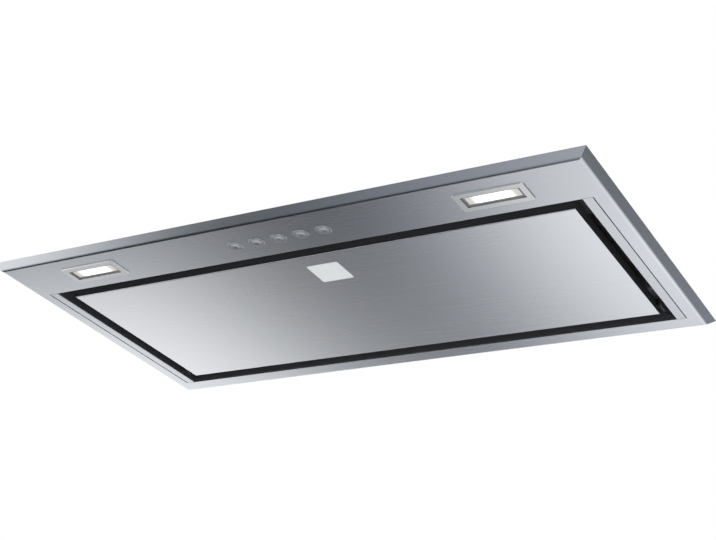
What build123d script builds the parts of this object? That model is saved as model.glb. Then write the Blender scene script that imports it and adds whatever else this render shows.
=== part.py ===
from build123d import *
import os
from math import cos, radians, sin, sqrt

# Built-in canopy range hood: a flat stainless face with an edge-suction panel, below a housing
# with a double-inlet blower. Millimetres. X runs to the right seen from the front, -Y is the
# front, +Z is up. The origin is the middle of the seating plane, where the rim meets the
# underside of the cabinet.

# Stainless face: the flange that shows below the cabinet
FLANGE_WIDTH = 525.0
FLANGE_DEPTH = 276.0
RIM_OUT = 6.3
RIM_RISE = 5.4
SHEET = 1.0
BEND_RADIUS = 4.0
RETURN_FLANGE = 12.0
FACE_Z = -RIM_RISE
FACE_TOP = FACE_Z + SHEET
FACE_HALF_X = FLANGE_WIDTH / 2 - RIM_OUT
FACE_HALF_Y = FLANGE_DEPTH / 2 - RIM_OUT

# Suction opening, the loose side strips beside it and the black gap round the panel
STRIP_DEPTH = 48.4
GAP_HALF_X = 237.8
SIDE_STRIP = 8.4
STRIP_JOINT = 0.8
STRIP_END_GAP = 0.3
CLIP_X = 243.9
CLIP_LENGTH = 8.0
CLIP_HEIGHT = 2.0
OPENING_HALF_X = GAP_HALF_X + SIDE_STRIP
OPENING_FRONT = -FACE_HALF_Y + STRIP_DEPTH
OPENING_BACK = 115.8

# Suction panel: stainless sheet on a black pan
PANEL_HALF_X = 227.8
PANEL_FRONT = -70.5
PANEL_BACK = 104.5
PANEL_Z = FACE_Z + 1.0
PAN_INSET = 1.0
PAN_DEPTH = 8.8
PAN_LIP = 8.0
PAN_BASE = PANEL_Z + SHEET
PAN_TOP = PAN_BASE + PAN_DEPTH

# Black inner frame that lines the opening and carries the filters
FRAME_TOP = 24.0
FRAME_SIDE_LEDGE = 16.0
FRAME_END_LEDGE = 8.0
FRAME_SIDE_FOOT = 17.0
FRAME_END_FOOT = 5.6
DIVIDER_HALF = 4.0

# Panel hinge and catches, in the side gaps
HINGE_Y = 99.5
HINGE_Z = 0.6
HINGE_PIN_RADIUS = 2.0
HINGE_PIN_HEAD = 2.8
HINGE_CLEARANCE = 0.05
EAR_X = 231.2
EAR_THICK = 2.0
EAR_REACH = 6.0
BRACKET_SHEET = 1.5
CATCH_Y = -55.0
CATCH_LENGTH = 20.0
CATCH_GAP = 0.3
CATCH_TOE = 5.0

# Housing above the cabinet floor
HOUSING_HALF_X = 239.8
HOUSING_HALF_Y = 123.0
HOUSING_TOP = 208.0
SIDE_FOOT = 16.0
END_FOOT = 8.0
WALL_LIP = 12.0
LID_FLANGE = 12.0
LID_SCREW_Z = HOUSING_TOP - 7.0
FIXING_X = 242.5
FIXING_MIDDLE_Y = 15.0
FIXING_HALF_Y = 75.0
FIXING_RADIUS = 2.2
FIXING_ACCESS_RADIUS = 3.7
SCREW_HEAD_RADIUS = 3.4
SCREW_HEAD = 2.0
SCREW_RADIUS = 1.5
SCREW_LENGTH = 8.0

# Blower: double-inlet wheel in a spiral casing, drawn with four arcs about a small square
FAN_Y = -38.0
FAN_Z = 132.0
SPIRAL_STEP = 8.0
SPIRAL_START_RADIUS = 68.0
TONGUE_ANGLE = 60.0
SCROLL_HALF_WIDTH = 56.0
SCROLL_SHEET = 1.2
SCROLL_OUTER_X = SCROLL_HALF_WIDTH + SCROLL_SHEET
DUCT_TOP = HOUSING_TOP - SHEET
DUCT_FRONT = FAN_Y - SPIRAL_STEP / 2 + SPIRAL_START_RADIUS * cos(radians(TONGUE_ANGLE))
DUCT_BACK = FAN_Y + SPIRAL_STEP / 2 + SPIRAL_START_RADIUS + 3 * SPIRAL_STEP
DUCT_FLANGE = 8.0
INLET_RADIUS = 47.0
INLET_ROLL = 6.0
WHEEL_RADIUS = 62.0
BLADE_INNER_RADIUS = 50.0
BLADE_COUNT = 36
BLADE_THICK = 0.9
BLADE_SWEEP = 8.0
BLADE_BELLY = 0.25
WHEEL_HALF_WIDTH = 51.0
WHEEL_RING = 2.0
DISC_HALF = 0.75
HUB_RADIUS = 9.0
HUB_REACH = 8.0

# Motor, its shaft and its three-armed mount
SHAFT_RADIUS = 4.0
SHAFT_CLEARANCE = 0.05
SHAFT_START = -12.0
SHAFT_END = 61.5
MOTOR_RADIUS = 38.0
MOTOR_START = 10.0
MOTOR_SEAM = 48.0
BEARING_RADIUS = 8.0
BEARING_LENGTH = 8.0
MOUNT_X = 60.2
MOUNT_SHEET = 2.0
ARM_COUNT = 3
ARM_RADIUS = 60.0
ARM_WIDTH = 14.0
BUSH_RADIUS = 5.5
VENT_COUNT = 10

# Duct spigot and its two non-return flaps
OUTLET_Y = (DUCT_FRONT + DUCT_BACK) / 2
SPIGOT_RADIUS = 74.5
SPIGOT_WALL = 1.5
SPIGOT_HEIGHT = 40.0
SPIGOT_TAPER = 4.0
COLLAR_FLANGE = 168.0
COLLAR_THICK = 2.0
COLLAR_CORNER = 18.0
COLLAR_SCREW_HALF = 72.0
FLAP_SEAT = 4.0
FLAP_SEAT_Z = HOUSING_TOP + 3.0
FLAP_Z = FLAP_SEAT_Z + 0.3
FLAP_THICK = 1.0
FLAP_RADIUS = 71.5
FLAP_SPLIT = 3.0
FLAP_PIN_Z = HOUSING_TOP + 5.3
FLAP_PIN_RADIUS = 1.5
FLAP_PIN_CLEARANCE = 0.06
KNUCKLE_RADIUS = 2.6
KNUCKLE_LENGTH = 27.0
KNUCKLE_PITCH = 29.0

# Controls in the front strip, a little right of the middle
STRIP_MIDDLE_X = 2.6

# Push buttons
BUTTON_NAMES = ["button_off", "button_low", "button_medium", "button_high", "button_light"]
BUTTON_PITCH = 20.0
BUTTON_Y = -104.6
BUTTON_RADIUS = 4.6
BUTTON_PROUD = 0.5
BUTTON_TRAVEL = 1.5
BUTTON_GUIDE_RADIUS = 4.9
BUTTON_RING_RADIUS = 6.4
BUTTON_COLLAR_RADIUS = 6.0
SHOULDER_Z = -1.4
SWITCH_HALF_X = 54.0
SWITCH_HALF_Y = 13.5
SWITCH_TOP = 12.0
BOARD_Z = 6.0
BOARD_THICK = 1.6

# Lamps
LAMP_SPREAD = 179.2
LAMP_Y = -106.0
LAMP_WIDTH = 55.0
LAMP_DEPTH = 24.0
LAMP_CORNER = 2.5
LAMP_NECK_INSET = 1.6
LAMP_RIM = 0.8
LAMP_WINDOW_X = 45.0
LAMP_WINDOW_Y = 14.0
LENS_Z = -3.0
LENS_THICK = 2.0
LENS_MARGIN = 1.5
LENS_FIELD = 2.0
LENS_GROOVE = 1.0
LAMP_NECK_TOP = 2.0
LAMP_HOUSING_TOP = 16.0
FIN_COUNT = 7

# Grease filters
FILTER_FRONT = -82.0
FILTER_BACK = 114.4
FILTER_INNER_X = 0.6
FILTER_OUTER_X = 227.4
FILTER_MIDDLE_X = (FILTER_INNER_X + FILTER_OUTER_X) / 2
FILTER_BOTTOM = 14.4
FILTER_TOP = 23.0
FILTER_LIP = 8.0
HOOK_HALF = 8.0
HOOK_SPREAD = 70.0
HOOK_REACH = 3.6
MESH_COLUMNS = 8
MESH_ROWS = 6
MESH_OPEN = 0.74
LATCH_HALF = 15.0
LATCH_TRAVEL = 5.0
LATCH_BACK = -60.5
LATCH_REACH = 5.0
LATCH_GRIP = 4.0
POCKET_BACK = -54.0
TONGUE_LOW = 16.8
TONGUE_HIGH = 20.2

# Electrical boxes
TERMINAL_X = -165.0
TERMINAL_Y = 5.0
TERMINAL_LENGTH = 80.0
TERMINAL_DEPTH = 64.0
TERMINAL_HEIGHT = 28.0
TERMINAL_WALL = 2.0
GLAND_Z = HOUSING_TOP + 14.0
GLAND_BORE = 4.5
GLAND_LENGTH = 20.0
CONTROL_THICK = 34.0


def block(x0, x1, y0, y1, z0, z1):
    """Rectangular bar between two corners"""
    middle = ((x0 + x1) / 2, (y0 + y1) / 2, (z0 + z1) / 2)
    return Pos(*middle) * Box(abs(x1 - x0), abs(y1 - y0), abs(z1 - z0))


def raised(outline, z0, z1):
    """Flat outline pushed up from one height to another"""
    return extrude(Pos(0, 0, z0) * outline, z1 - z0)


def rod(start, direction, radius, length):
    """Round bar from a start point along a direction"""
    return extrude(Plane(origin=start, z_dir=direction) * Circle(radius), length)


def mirrored(shape):
    """The left-hand twin of a right-hand piece"""
    return mirror(shape, about=Plane.YZ)


def pair(shape):
    """A right-hand piece and its twin, as two separate solids"""
    return Compound([shape, mirrored(shape)])


def fused(shapes):
    """One shape from touching shapes"""
    whole = shapes[0]
    for shape in shapes[1:]:
        whole = whole + shape
    return whole


def polygon(points):
    """Flat face from corner points"""
    return make_face(Polyline(*points, close=True))


def button_places():
    """The buttons' places along the strip, left to right"""
    middle = (len(BUTTON_NAMES) - 1) / 2
    return [STRIP_MIDDLE_X + (index - middle) * BUTTON_PITCH for index in range(len(BUTTON_NAMES))]


def lamp_places():
    """The lamps' places along the strip, left and right"""
    return [STRIP_MIDDLE_X - LAMP_SPREAD, STRIP_MIDDLE_X + LAMP_SPREAD]


def fixing_rows():
    """The two rows of the hood's fixing holes"""
    return [FIXING_MIDDLE_Y - FIXING_HALF_Y, FIXING_MIDDLE_Y + FIXING_HALF_Y]


# Stainless face and its strips


def rim_section():
    """Folded rim at the front edge, outwards and up: face, bend, bevel and return flange"""
    front = -FLANGE_DEPTH / 2
    inner = front + RETURN_FLANGE
    slope = RIM_OUT / RIM_RISE
    skew = SHEET * sqrt(1 + slope**2)
    outer_bend = (-FACE_HALF_Y, FACE_Z)
    inner_bend = (-FACE_HALF_Y - SHEET * slope + skew, FACE_TOP)
    section = polygon(
        [
            (inner, FACE_Z),
            outer_bend,
            (front, 0),
            (inner, 0),
            (inner, -SHEET),
            (front + SHEET * slope + skew, -SHEET),
            inner_bend,
            (inner, FACE_TOP),
        ]
    )
    for corner, radius in ((outer_bend, BEND_RADIUS), (inner_bend, BEND_RADIUS - SHEET)):
        nearest = section.vertices().sort_by_distance((*corner, 0))[0]
        section = fillet(nearest, radius)
    return section


def make_tray():
    """Face sheet with its mitred bevel rim, return flange, opening and cut-outs"""
    half_x = FLANGE_WIDTH / 2 - RETURN_FLANGE
    half_y = FLANGE_DEPTH / 2 - RETURN_FLANGE
    corners = [(-half_x, -half_y), (half_x, -half_y), (half_x, half_y), (-half_x, half_y)]
    path = Polyline(*corners, close=True)
    plane = Plane(origin=(-half_x, 0, 0), x_dir=(0, 1, 0), z_dir=(1, 0, 0))
    rim = sweep(plane * rim_section(), path=path, transition=Transition.RIGHT)
    middle = (OPENING_FRONT + OPENING_BACK) / 2
    flat = Rectangle(2 * half_x, 2 * half_y)
    flat -= Pos(0, middle) * Rectangle(2 * OPENING_HALF_X, OPENING_BACK - OPENING_FRONT)
    for x in lamp_places():
        flat -= Pos(x, LAMP_Y) * lamp_neck()
    for x in button_places():
        flat -= Pos(x, BUTTON_Y) * Circle(BUTTON_RING_RADIUS)
    return rim + raised(flat, FACE_Z, FACE_TOP)


def clip_places():
    """Places of the side strips' clips, between and beside the fixing screws"""
    first = OPENING_FRONT + 8
    last = OPENING_BACK - 8
    return [first, (first + last) / 2, last]


def make_side_strip():
    """Right-hand loose strip that hides two fixing screws, with three clip legs"""
    outer = OPENING_HALF_X - STRIP_JOINT
    ends = (OPENING_FRONT + STRIP_END_GAP, OPENING_BACK - STRIP_END_GAP)
    strip = block(GAP_HALF_X, outer, *ends, FACE_Z, FACE_TOP)
    lower = strip.faces().sort_by(Axis.Z)[0]
    strip = fillet(lower.edges().filter_by(Axis.Y), 0.5)
    for y in clip_places():
        half = CLIP_LENGTH / 2
        strip += block(CLIP_X, CLIP_X + SHEET, y - half, y + half, FACE_TOP, FACE_TOP + CLIP_HEIGHT)
    return strip


# Black inner frame, panel, hinge and catches


def opening_ring(grow_x, grow_y, z0, z1):
    """Flat ring along the opening's edge: outside it for a positive growth, inside for a negative one"""
    middle = (OPENING_FRONT + OPENING_BACK) / 2
    depth = OPENING_BACK - OPENING_FRONT
    edge = Pos(0, middle) * Rectangle(2 * GAP_HALF_X, depth)
    other = Pos(0, middle) * Rectangle(2 * (GAP_HALF_X + grow_x), depth + 2 * grow_y)
    ring = other - edge if grow_x > 0 else edge - other
    return raised(ring, z0, z1)


def make_frame():
    """Z-section ring: foot on the face sheet, wall up the gap, ledge over the filters"""
    frame = fused(
        [
            opening_ring(SHEET, SHEET, FACE_TOP, FRAME_TOP),
            opening_ring(FRAME_SIDE_FOOT, FRAME_END_FOOT, FACE_TOP, FACE_TOP + SHEET),
            opening_ring(-FRAME_SIDE_LEDGE, -FRAME_END_LEDGE, FRAME_TOP - SHEET, FRAME_TOP),
            block(-DIVIDER_HALF, DIVIDER_HALF, OPENING_FRONT, OPENING_BACK, FRAME_TOP - SHEET, FRAME_TOP),
        ]
    )
    ease = 0.4
    low = TONGUE_LOW - ease
    high = TONGUE_HIGH + ease
    for side in (-1, 1):
        middle = side * FILTER_MIDDLE_X
        half = LATCH_HALF + ease
        frame -= block(middle - half, middle + half, OPENING_FRONT - 2, OPENING_FRONT + 1, low, high)
        for hook in (-HOOK_SPREAD, HOOK_SPREAD):
            x = middle + hook
            half = HOOK_HALF + ease
            frame -= block(x - half, x + half, OPENING_BACK - 1, OPENING_BACK + 2, low, high)
        for y in fixing_rows():
            frame -= rod((side * FIXING_X, y, FACE_Z), (0, 0, 1), FIXING_ACCESS_RADIUS, 3)
        for y in clip_places():
            slot = Pos(side * (CLIP_X + SHEET / 2), y, FACE_TOP)
            frame -= slot * Box(SHEET + 0.2, CLIP_LENGTH + 0.4, 4)
    return frame


def make_panel_face():
    """Stainless suction panel with its lower edges eased"""
    face = block(-PANEL_HALF_X, PANEL_HALF_X, PANEL_FRONT, PANEL_BACK, PANEL_Z, PAN_BASE)
    return fillet(face.faces().sort_by(Axis.Z)[0].edges(), 0.5)


def make_panel_pan():
    """Black pan behind the panel: walls, turned-in lip and the hinge pins' holes"""
    half_x = PANEL_HALF_X - PAN_INSET
    middle = (PANEL_FRONT + PANEL_BACK) / 2
    half_y = (PANEL_BACK - PANEL_FRONT) / 2 - PAN_INSET
    outline = Pos(0, middle) * Rectangle(2 * half_x, 2 * half_y)
    hollow = Pos(0, middle) * Rectangle(2 * (half_x - SHEET), 2 * (half_y - SHEET))
    window = Pos(0, middle) * Rectangle(2 * (half_x - PAN_LIP), 2 * (half_y - PAN_LIP))
    pan = raised(outline, PAN_BASE, PAN_TOP)
    pan -= raised(hollow, PAN_BASE + SHEET, PAN_TOP - SHEET)
    pan -= raised(window, PAN_TOP - SHEET, PAN_TOP)
    for side in (-1, 1):
        start = (side * (half_x - 3), HINGE_Y, HINGE_Z)
        pan -= rod(start, (side, 0, 0), HINGE_PIN_RADIUS, 6)
    return pan


def make_hinge_pins():
    """Two headed pins, pushed outwards through the pan's walls into the ears"""
    wall = PANEL_HALF_X - PAN_INSET - SHEET
    end = EAR_X + EAR_THICK + 1
    head = 1.5
    pin = rod((wall, HINGE_Y, HINGE_Z), (1, 0, 0), HINGE_PIN_RADIUS, end - wall)
    pin += rod((wall - head, HINGE_Y, HINGE_Z), (1, 0, 0), HINGE_PIN_HEAD, head)
    return pair(pin)


def make_hinge_brackets():
    """Two folded ears that hang from the frame's side walls and hold the pins"""
    ends = (HINGE_Y - EAR_REACH, HINGE_Y + EAR_REACH)
    low = HINGE_Z - 4
    top = FILTER_BOTTOM
    bracket = fused(
        [
            block(EAR_X, EAR_X + EAR_THICK, *ends, low, top),
            block(EAR_X, GAP_HALF_X, *ends, top - BRACKET_SHEET, top),
            block(GAP_HALF_X - BRACKET_SHEET, GAP_HALF_X, *ends, low, top),
        ]
    )
    lower = [edge for edge in bracket.edges().filter_by(Axis.X) if edge.center().Z < low + 0.1]
    bracket = fillet(lower, 3)
    bore = HINGE_PIN_RADIUS + HINGE_CLEARANCE
    bracket -= rod((EAR_X - 1, HINGE_Y, HINGE_Z), (1, 0, 0), bore, EAR_THICK + 2)
    return pair(bracket)


def make_catches():
    """Two magnet blocks on the frame's side walls, each with a toe just above the pan's lip"""
    ends = (CATCH_Y - CATCH_LENGTH / 2, CATCH_Y + CATCH_LENGTH / 2)
    low = PAN_TOP + CATCH_GAP
    body = block(EAR_X - 2, GAP_HALF_X, *ends, low, FRAME_TOP - SHEET)
    toe_end = PANEL_HALF_X - PAN_INSET - CATCH_TOE
    body += block(toe_end, EAR_X, *ends, low, FILTER_BOTTOM - 1)
    return pair(chamfer(body.edges().filter_by(Axis.Z), 1.0))


# Housing


def wall_section(foot, lip):
    """Section of a housing wall: foot outwards, web up, lip inwards under the lid"""
    top = HOUSING_TOP - SHEET
    return polygon(
        [
            (foot, -SHEET),
            (foot, -2 * SHEET),
            (-SHEET, -2 * SHEET),
            (-SHEET, top - SHEET),
            (-lip, top - SHEET),
            (-lip, top),
            (0, top),
            (0, -SHEET),
        ]
    )


def make_end_wall(side):
    """Front (side -1) or back (side 1) wall of the housing"""
    plane = Plane(
        origin=(-side * HOUSING_HALF_X, side * HOUSING_HALF_Y, 0),
        x_dir=(0, side, 0),
        z_dir=(side, 0, 0),
    )
    wall = extrude(plane * wall_section(END_FOOT, WALL_LIP), 2 * HOUSING_HALF_X)
    inner_x = HOUSING_HALF_X - SHEET
    inner_y = side * (HOUSING_HALF_Y - SHEET)
    lip_y = side * (HOUSING_HALF_Y - WALL_LIP)
    for end in (-1, 1):
        wall -= block(end * inner_x, end * HOUSING_HALF_X, inner_y, lip_y, HOUSING_TOP - 3, HOUSING_TOP)
    return drilled(wall)


def make_side_wall():
    """Right-hand wall, with edge flanges behind the end walls and two fixing holes in its foot"""
    inner_x = HOUSING_HALF_X - SHEET
    inner_y = HOUSING_HALF_Y - SHEET
    lip_x = HOUSING_HALF_X - WALL_LIP
    plane = Plane(origin=(HOUSING_HALF_X, inner_y, 0), x_dir=(1, 0, 0), z_dir=(0, -1, 0))
    wall = extrude(plane * wall_section(SIDE_FOOT, WALL_LIP), 2 * inner_y)
    for side in (-1, 1):
        edge = side * inner_y
        lip_end = side * (HOUSING_HALF_Y - WALL_LIP)
        wall -= block(lip_x, inner_x, edge, lip_end, HOUSING_TOP - 3, HOUSING_TOP)
        wall += block(lip_x, inner_x, edge, edge - side * SHEET, FRAME_TOP + 4, HOUSING_TOP - 4)
    for y in fixing_rows():
        wall -= rod((FIXING_X, y, -3), (0, 0, 1), FIXING_RADIUS, 4)
    return drilled(wall)


def lid_screw_places():
    """The lid's screws: a point on the turned-down flange and the inward direction"""
    places = []
    for side in (-1, 1):
        for x in (-180, 0, 180):
            places.append(((x, side * (HOUSING_HALF_Y + SHEET), LID_SCREW_Z), (0, -side, 0)))
        places.append(((side * (HOUSING_HALF_X + SHEET), 0, LID_SCREW_Z), (-side, 0, 0)))
    return places


def drilled(shape):
    """A housing sheet with the lid screws' holes"""
    for place, direction in lid_screw_places():
        start = [p - 0.5 * d for p, d in zip(place, direction)]
        shape -= rod(start, direction, SCREW_RADIUS, 4)
    return shape


def make_top():
    """Lid: flat top, turned-down flanges, pressed stiffening ribs and the duct cut-out"""
    half_x = HOUSING_HALF_X + SHEET
    half_y = HOUSING_HALF_Y + SHEET
    low = HOUSING_TOP - LID_FLANGE
    lid = raised(Rectangle(2 * half_x, 2 * half_y), low, HOUSING_TOP)
    lid -= raised(Rectangle(2 * HOUSING_HALF_X, 2 * HOUSING_HALF_Y), low, DUCT_TOP)
    lid = fillet(lid.faces().sort_by(Axis.Z)[-1].edges(), 0.9)
    for x in (125, 165, 205):
        rib = raised(Pos(x, 0) * SlotOverall(180, 10, rotation=90), HOUSING_TOP, HOUSING_TOP + 1.2)
        lid += chamfer(rib.faces().sort_by(Axis.Z)[-1].edges(), 0.8)
    depth = DUCT_BACK - DUCT_FRONT
    lid -= Pos(0, OUTLET_Y, DUCT_TOP) * Box(2 * SCROLL_HALF_WIDTH, depth, 4)
    for x, y in collar_screw_places():
        lid -= rod((x, y, HOUSING_TOP - 3), (0, 0, 1), SCREW_RADIUS, 4)
    return drilled(lid)


def screw(place, direction):
    """Pan-head screw whose head sits on the given point"""
    section = polygon(
        [
            (0, -SCREW_LENGTH),
            (SCREW_RADIUS, -SCREW_LENGTH),
            (SCREW_RADIUS, 0),
            (SCREW_HEAD_RADIUS, 0),
            (SCREW_HEAD_RADIUS * 0.7, SCREW_HEAD),
            (0, SCREW_HEAD),
        ]
    )
    outward = [-value for value in direction]
    return Plane(origin=place, z_dir=outward) * revolve(Plane.XZ * section, Axis.Z)


def make_screws():
    """Every pan-head screw: round the lid, at the spigot's corners and in the motor's arms"""
    places = lid_screw_places()
    flange_z = HOUSING_TOP + COLLAR_THICK
    places += [((x, y, flange_z), (0, 0, -1)) for x, y in collar_screw_places()]
    places += [((MOUNT_X + MOUNT_SHEET, y, z), (-1, 0, 0)) for y, z in arm_places()]
    return Compound([screw(*place) for place in places])


# Blower


def fan_plane(x):
    """Plane square to the shaft, with the fan's axis at its origin"""
    return Plane(origin=(x, FAN_Y, FAN_Z), x_dir=(0, 1, 0), z_dir=(1, 0, 0))


def spiral_space():
    """Air space of the casing and its duct: four tangent arcs that open by one step a quarter turn"""
    step = SPIRAL_STEP
    low_y = FAN_Y - step / 2
    low_z = FAN_Z - step / 2
    centres = [(low_y, low_z + step), (low_y, low_z), (low_y + step, low_z), (low_y + step, low_z + step)]
    start = TONGUE_ANGLE
    edges = []
    for quarter, centre in enumerate(centres):
        end = 90 * (quarter + 1)
        radius = SPIRAL_START_RADIUS + quarter * step
        edges.append(CenterArc(centre, radius, start, end - start))
        start = end
    tongue = edges[0] @ 0
    back = edges[-1] @ 1
    duct = Polyline(back, (DUCT_BACK, DUCT_TOP), (DUCT_FRONT, DUCT_TOP), tongue)
    return make_face(edges + list(duct.edges()))


def above_duct():
    """Everything above the duct's top edge"""
    return block(-200, 200, -200, 200, DUCT_TOP, DUCT_TOP + 50)


def make_scroll_band():
    """The casing's curved wall, with a flange at the top of the duct"""
    space = spiral_space()
    plane = Plane.YZ.offset(-SCROLL_HALF_WIDTH)
    band = extrude(plane * (offset(space, SCROLL_SHEET) - space), 2 * SCROLL_HALF_WIDTH)
    half = SCROLL_HALF_WIDTH
    flange_z = DUCT_TOP - SCROLL_SHEET
    for wall, side in ((DUCT_FRONT, -1), (DUCT_BACK, 1)):
        start = wall + side * SCROLL_SHEET
        band += block(-half, half, start, start + side * DUCT_FLANGE, flange_z, DUCT_TOP)
    return band - above_duct()


def make_scroll_side():
    """Right-hand side plate of the casing, with a rolled inlet that leads into the wheel"""
    outline = offset(spiral_space(), SCROLL_SHEET)
    plate = extrude(Plane.YZ.offset(SCROLL_HALF_WIDTH) * outline, SCROLL_SHEET) - above_duct()
    rolled = INLET_RADIUS + INLET_ROLL
    plate -= extrude(fan_plane(SCROLL_HALF_WIDTH - 1) * Circle(rolled), 4)
    throat = SCROLL_OUTER_X - INLET_ROLL
    arcs = []
    for radius in (INLET_ROLL, INLET_ROLL - SCROLL_SHEET):
        arcs.append(CenterArc((rolled, throat), radius, 90, 90))
    ends = [Line(arcs[0] @ 0, arcs[1] @ 0), Line(arcs[0] @ 1, arcs[1] @ 1)]
    lip = revolve(Plane.XZ * make_face(arcs + ends), Axis.Z)
    return plate + fan_plane(0) * lip


def make_scroll_side_right():
    """Side plate on the motor's side, drilled for the mount"""
    plate = make_scroll_side()
    for y, z in arm_places():
        plate -= rod((SCROLL_HALF_WIDTH - 1, y, z), (1, 0, 0), SCREW_RADIUS, 3)
    return plate


def make_disc():
    """Centre disc of the wheel with its hub"""
    outer = WHEEL_RADIUS + 1
    section = polygon(
        [
            (SHAFT_RADIUS, -HUB_REACH),
            (HUB_RADIUS - 1, -HUB_REACH),
            (HUB_RADIUS, -DISC_HALF),
            (outer, -DISC_HALF),
            (outer, DISC_HALF),
            (HUB_RADIUS, DISC_HALF),
            (HUB_RADIUS - 1, HUB_REACH),
            (SHAFT_RADIUS, HUB_REACH),
        ]
    )
    return fan_plane(0) * revolve(Plane.XZ * section, Axis.Z)


def make_blades():
    """Right half of the wheel: forward-curved blades from the disc out to an end ring"""
    middle_radius = (BLADE_INNER_RADIUS + WHEEL_RADIUS) / 2
    hollow = []
    back = []
    for radius, share in ((BLADE_INNER_RADIUS, 0.0), (middle_radius, BLADE_BELLY), (WHEEL_RADIUS, 1.0)):
        angle = radians(BLADE_SWEEP * share)
        hollow.append((radius * cos(angle), radius * sin(angle)))
        angle -= BLADE_THICK / radius
        back.append((radius * cos(angle), radius * sin(angle)))
    arcs = [ThreePointArc(*hollow), ThreePointArc(*back)]
    ends = [Line(hollow[0], back[0]), Line(hollow[2], back[2])]
    blade = make_face(arcs + ends)
    turns = [Rot(0, 0, 360 / BLADE_COUNT * index) for index in range(BLADE_COUNT)]
    crown = Sketch() + [turn * blade for turn in turns]
    ring_start = WHEEL_HALF_WIDTH - WHEEL_RING
    ring = Circle(WHEEL_RADIUS + 1) - Circle(BLADE_INNER_RADIUS - 1)
    wheel = raised(crown, DISC_HALF, ring_start) + raised(ring, ring_start, WHEEL_HALF_WIDTH)
    return fan_plane(0) * wheel


def make_shaft():
    """Motor shaft with a flat near the hub's end"""
    shaft = extrude(fan_plane(SHAFT_START) * Circle(SHAFT_RADIUS), SHAFT_END - SHAFT_START)
    return chamfer(shaft.edges().filter_by(GeomType.CIRCLE), 0.5)


def make_motor_case():
    """Motor can with a front boss, cooling slots and a pocket for the front bearing"""
    clear = SHAFT_RADIUS + 1
    section = polygon(
        [
            (clear, MOTOR_START + BEARING_LENGTH),
            (BEARING_RADIUS, MOTOR_START + BEARING_LENGTH),
            (BEARING_RADIUS, MOTOR_START),
            (BEARING_RADIUS + 5, MOTOR_START),
            (BEARING_RADIUS + 8, MOTOR_START + 5),
            (MOTOR_RADIUS - 5, MOTOR_START + 5),
            (MOTOR_RADIUS, MOTOR_START + 10),
            (MOTOR_RADIUS, MOTOR_SEAM),
            (clear, MOTOR_SEAM),
        ]
    )
    can = revolve(Plane.XZ * section, Axis.Z)
    slot = block(MOTOR_RADIUS - 3, MOTOR_RADIUS + 1, -4, 4, MOTOR_START + 15, MOTOR_SEAM - 8)
    for index in range(VENT_COUNT):
        can -= Rot(0, 0, 360 / VENT_COUNT * index) * slot
    return fan_plane(0) * can


def make_motor_cap():
    """Rear cap of the motor, with the rear bearing's pocket and the boss under the mount"""
    clear = SHAFT_RADIUS + 1
    section = polygon(
        [
            (clear, MOTOR_SEAM),
            (MOTOR_RADIUS, MOTOR_SEAM),
            (MOTOR_RADIUS, MOTOR_SEAM + 4),
            (MOTOR_RADIUS - 6, MOTOR_SEAM + 7),
            (18, MOTOR_SEAM + 7),
            (16, MOUNT_X),
            (BEARING_RADIUS, MOUNT_X),
            (BEARING_RADIUS, MOUNT_X - BEARING_LENGTH),
            (clear, MOUNT_X - BEARING_LENGTH),
        ]
    )
    return fan_plane(0) * revolve(Plane.XZ * section, Axis.Z)


def make_bearings():
    """Sintered bushes in the can and in the rear cap"""
    ring = Circle(BEARING_RADIUS) - Circle(SHAFT_RADIUS + SHAFT_CLEARANCE)
    starts = (MOTOR_START, MOUNT_X - BEARING_LENGTH)
    return Compound([extrude(fan_plane(start) * ring, BEARING_LENGTH) for start in starts])


def arm_angles():
    """Directions of the mount's arms"""
    return [90 + 360 / ARM_COUNT * index for index in range(ARM_COUNT)]


def arm_places():
    """Screw places at the ends of the arms, as Y and Z"""
    places = []
    for angle in arm_angles():
        turn = radians(angle)
        places.append((FAN_Y + ARM_RADIUS * cos(turn), FAN_Z + ARM_RADIUS * sin(turn)))
    return places


def make_motor_mount():
    """Three-armed plate between the motor's rear boss and the casing"""
    spider = Circle(24)
    arm = Pos(ARM_RADIUS / 2, 0) * Rectangle(ARM_RADIUS, ARM_WIDTH)
    arm += Pos(ARM_RADIUS, 0) * Circle(ARM_WIDTH / 2)
    hole = Pos(ARM_RADIUS, 0) * Circle(SCREW_RADIUS)
    for angle in arm_angles():
        spider += Rot(0, 0, angle) * arm
    for angle in arm_angles():
        spider -= Rot(0, 0, angle) * hole
    spider -= Circle(SHAFT_RADIUS + 1)
    return extrude(fan_plane(MOUNT_X) * spider, MOUNT_SHEET)


def make_bushes():
    """Rubber bushes between the arms and the casing"""
    bushes = []
    for y, z in arm_places():
        ring = Circle(BUSH_RADIUS) - Circle(SCREW_RADIUS)
        plane = Plane(origin=(SCROLL_OUTER_X, y, z), x_dir=(0, 1, 0), z_dir=(1, 0, 0))
        bushes.append(extrude(plane * ring, MOUNT_X - SCROLL_OUTER_X))
    return Compound(bushes)


# Duct spigot and flaps


def collar_screw_places():
    """Corners of the spigot's flange"""
    half = COLLAR_SCREW_HALF
    return [(x, OUTLET_Y + y) for x in (-half, half) for y in (-half, half)]


def flap_pin_reach():
    """Half the flap pin's length: its ends sit in blind holes in the spigot's wall"""
    return SPIGOT_RADIUS - SPIGOT_WALL / 2


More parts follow.
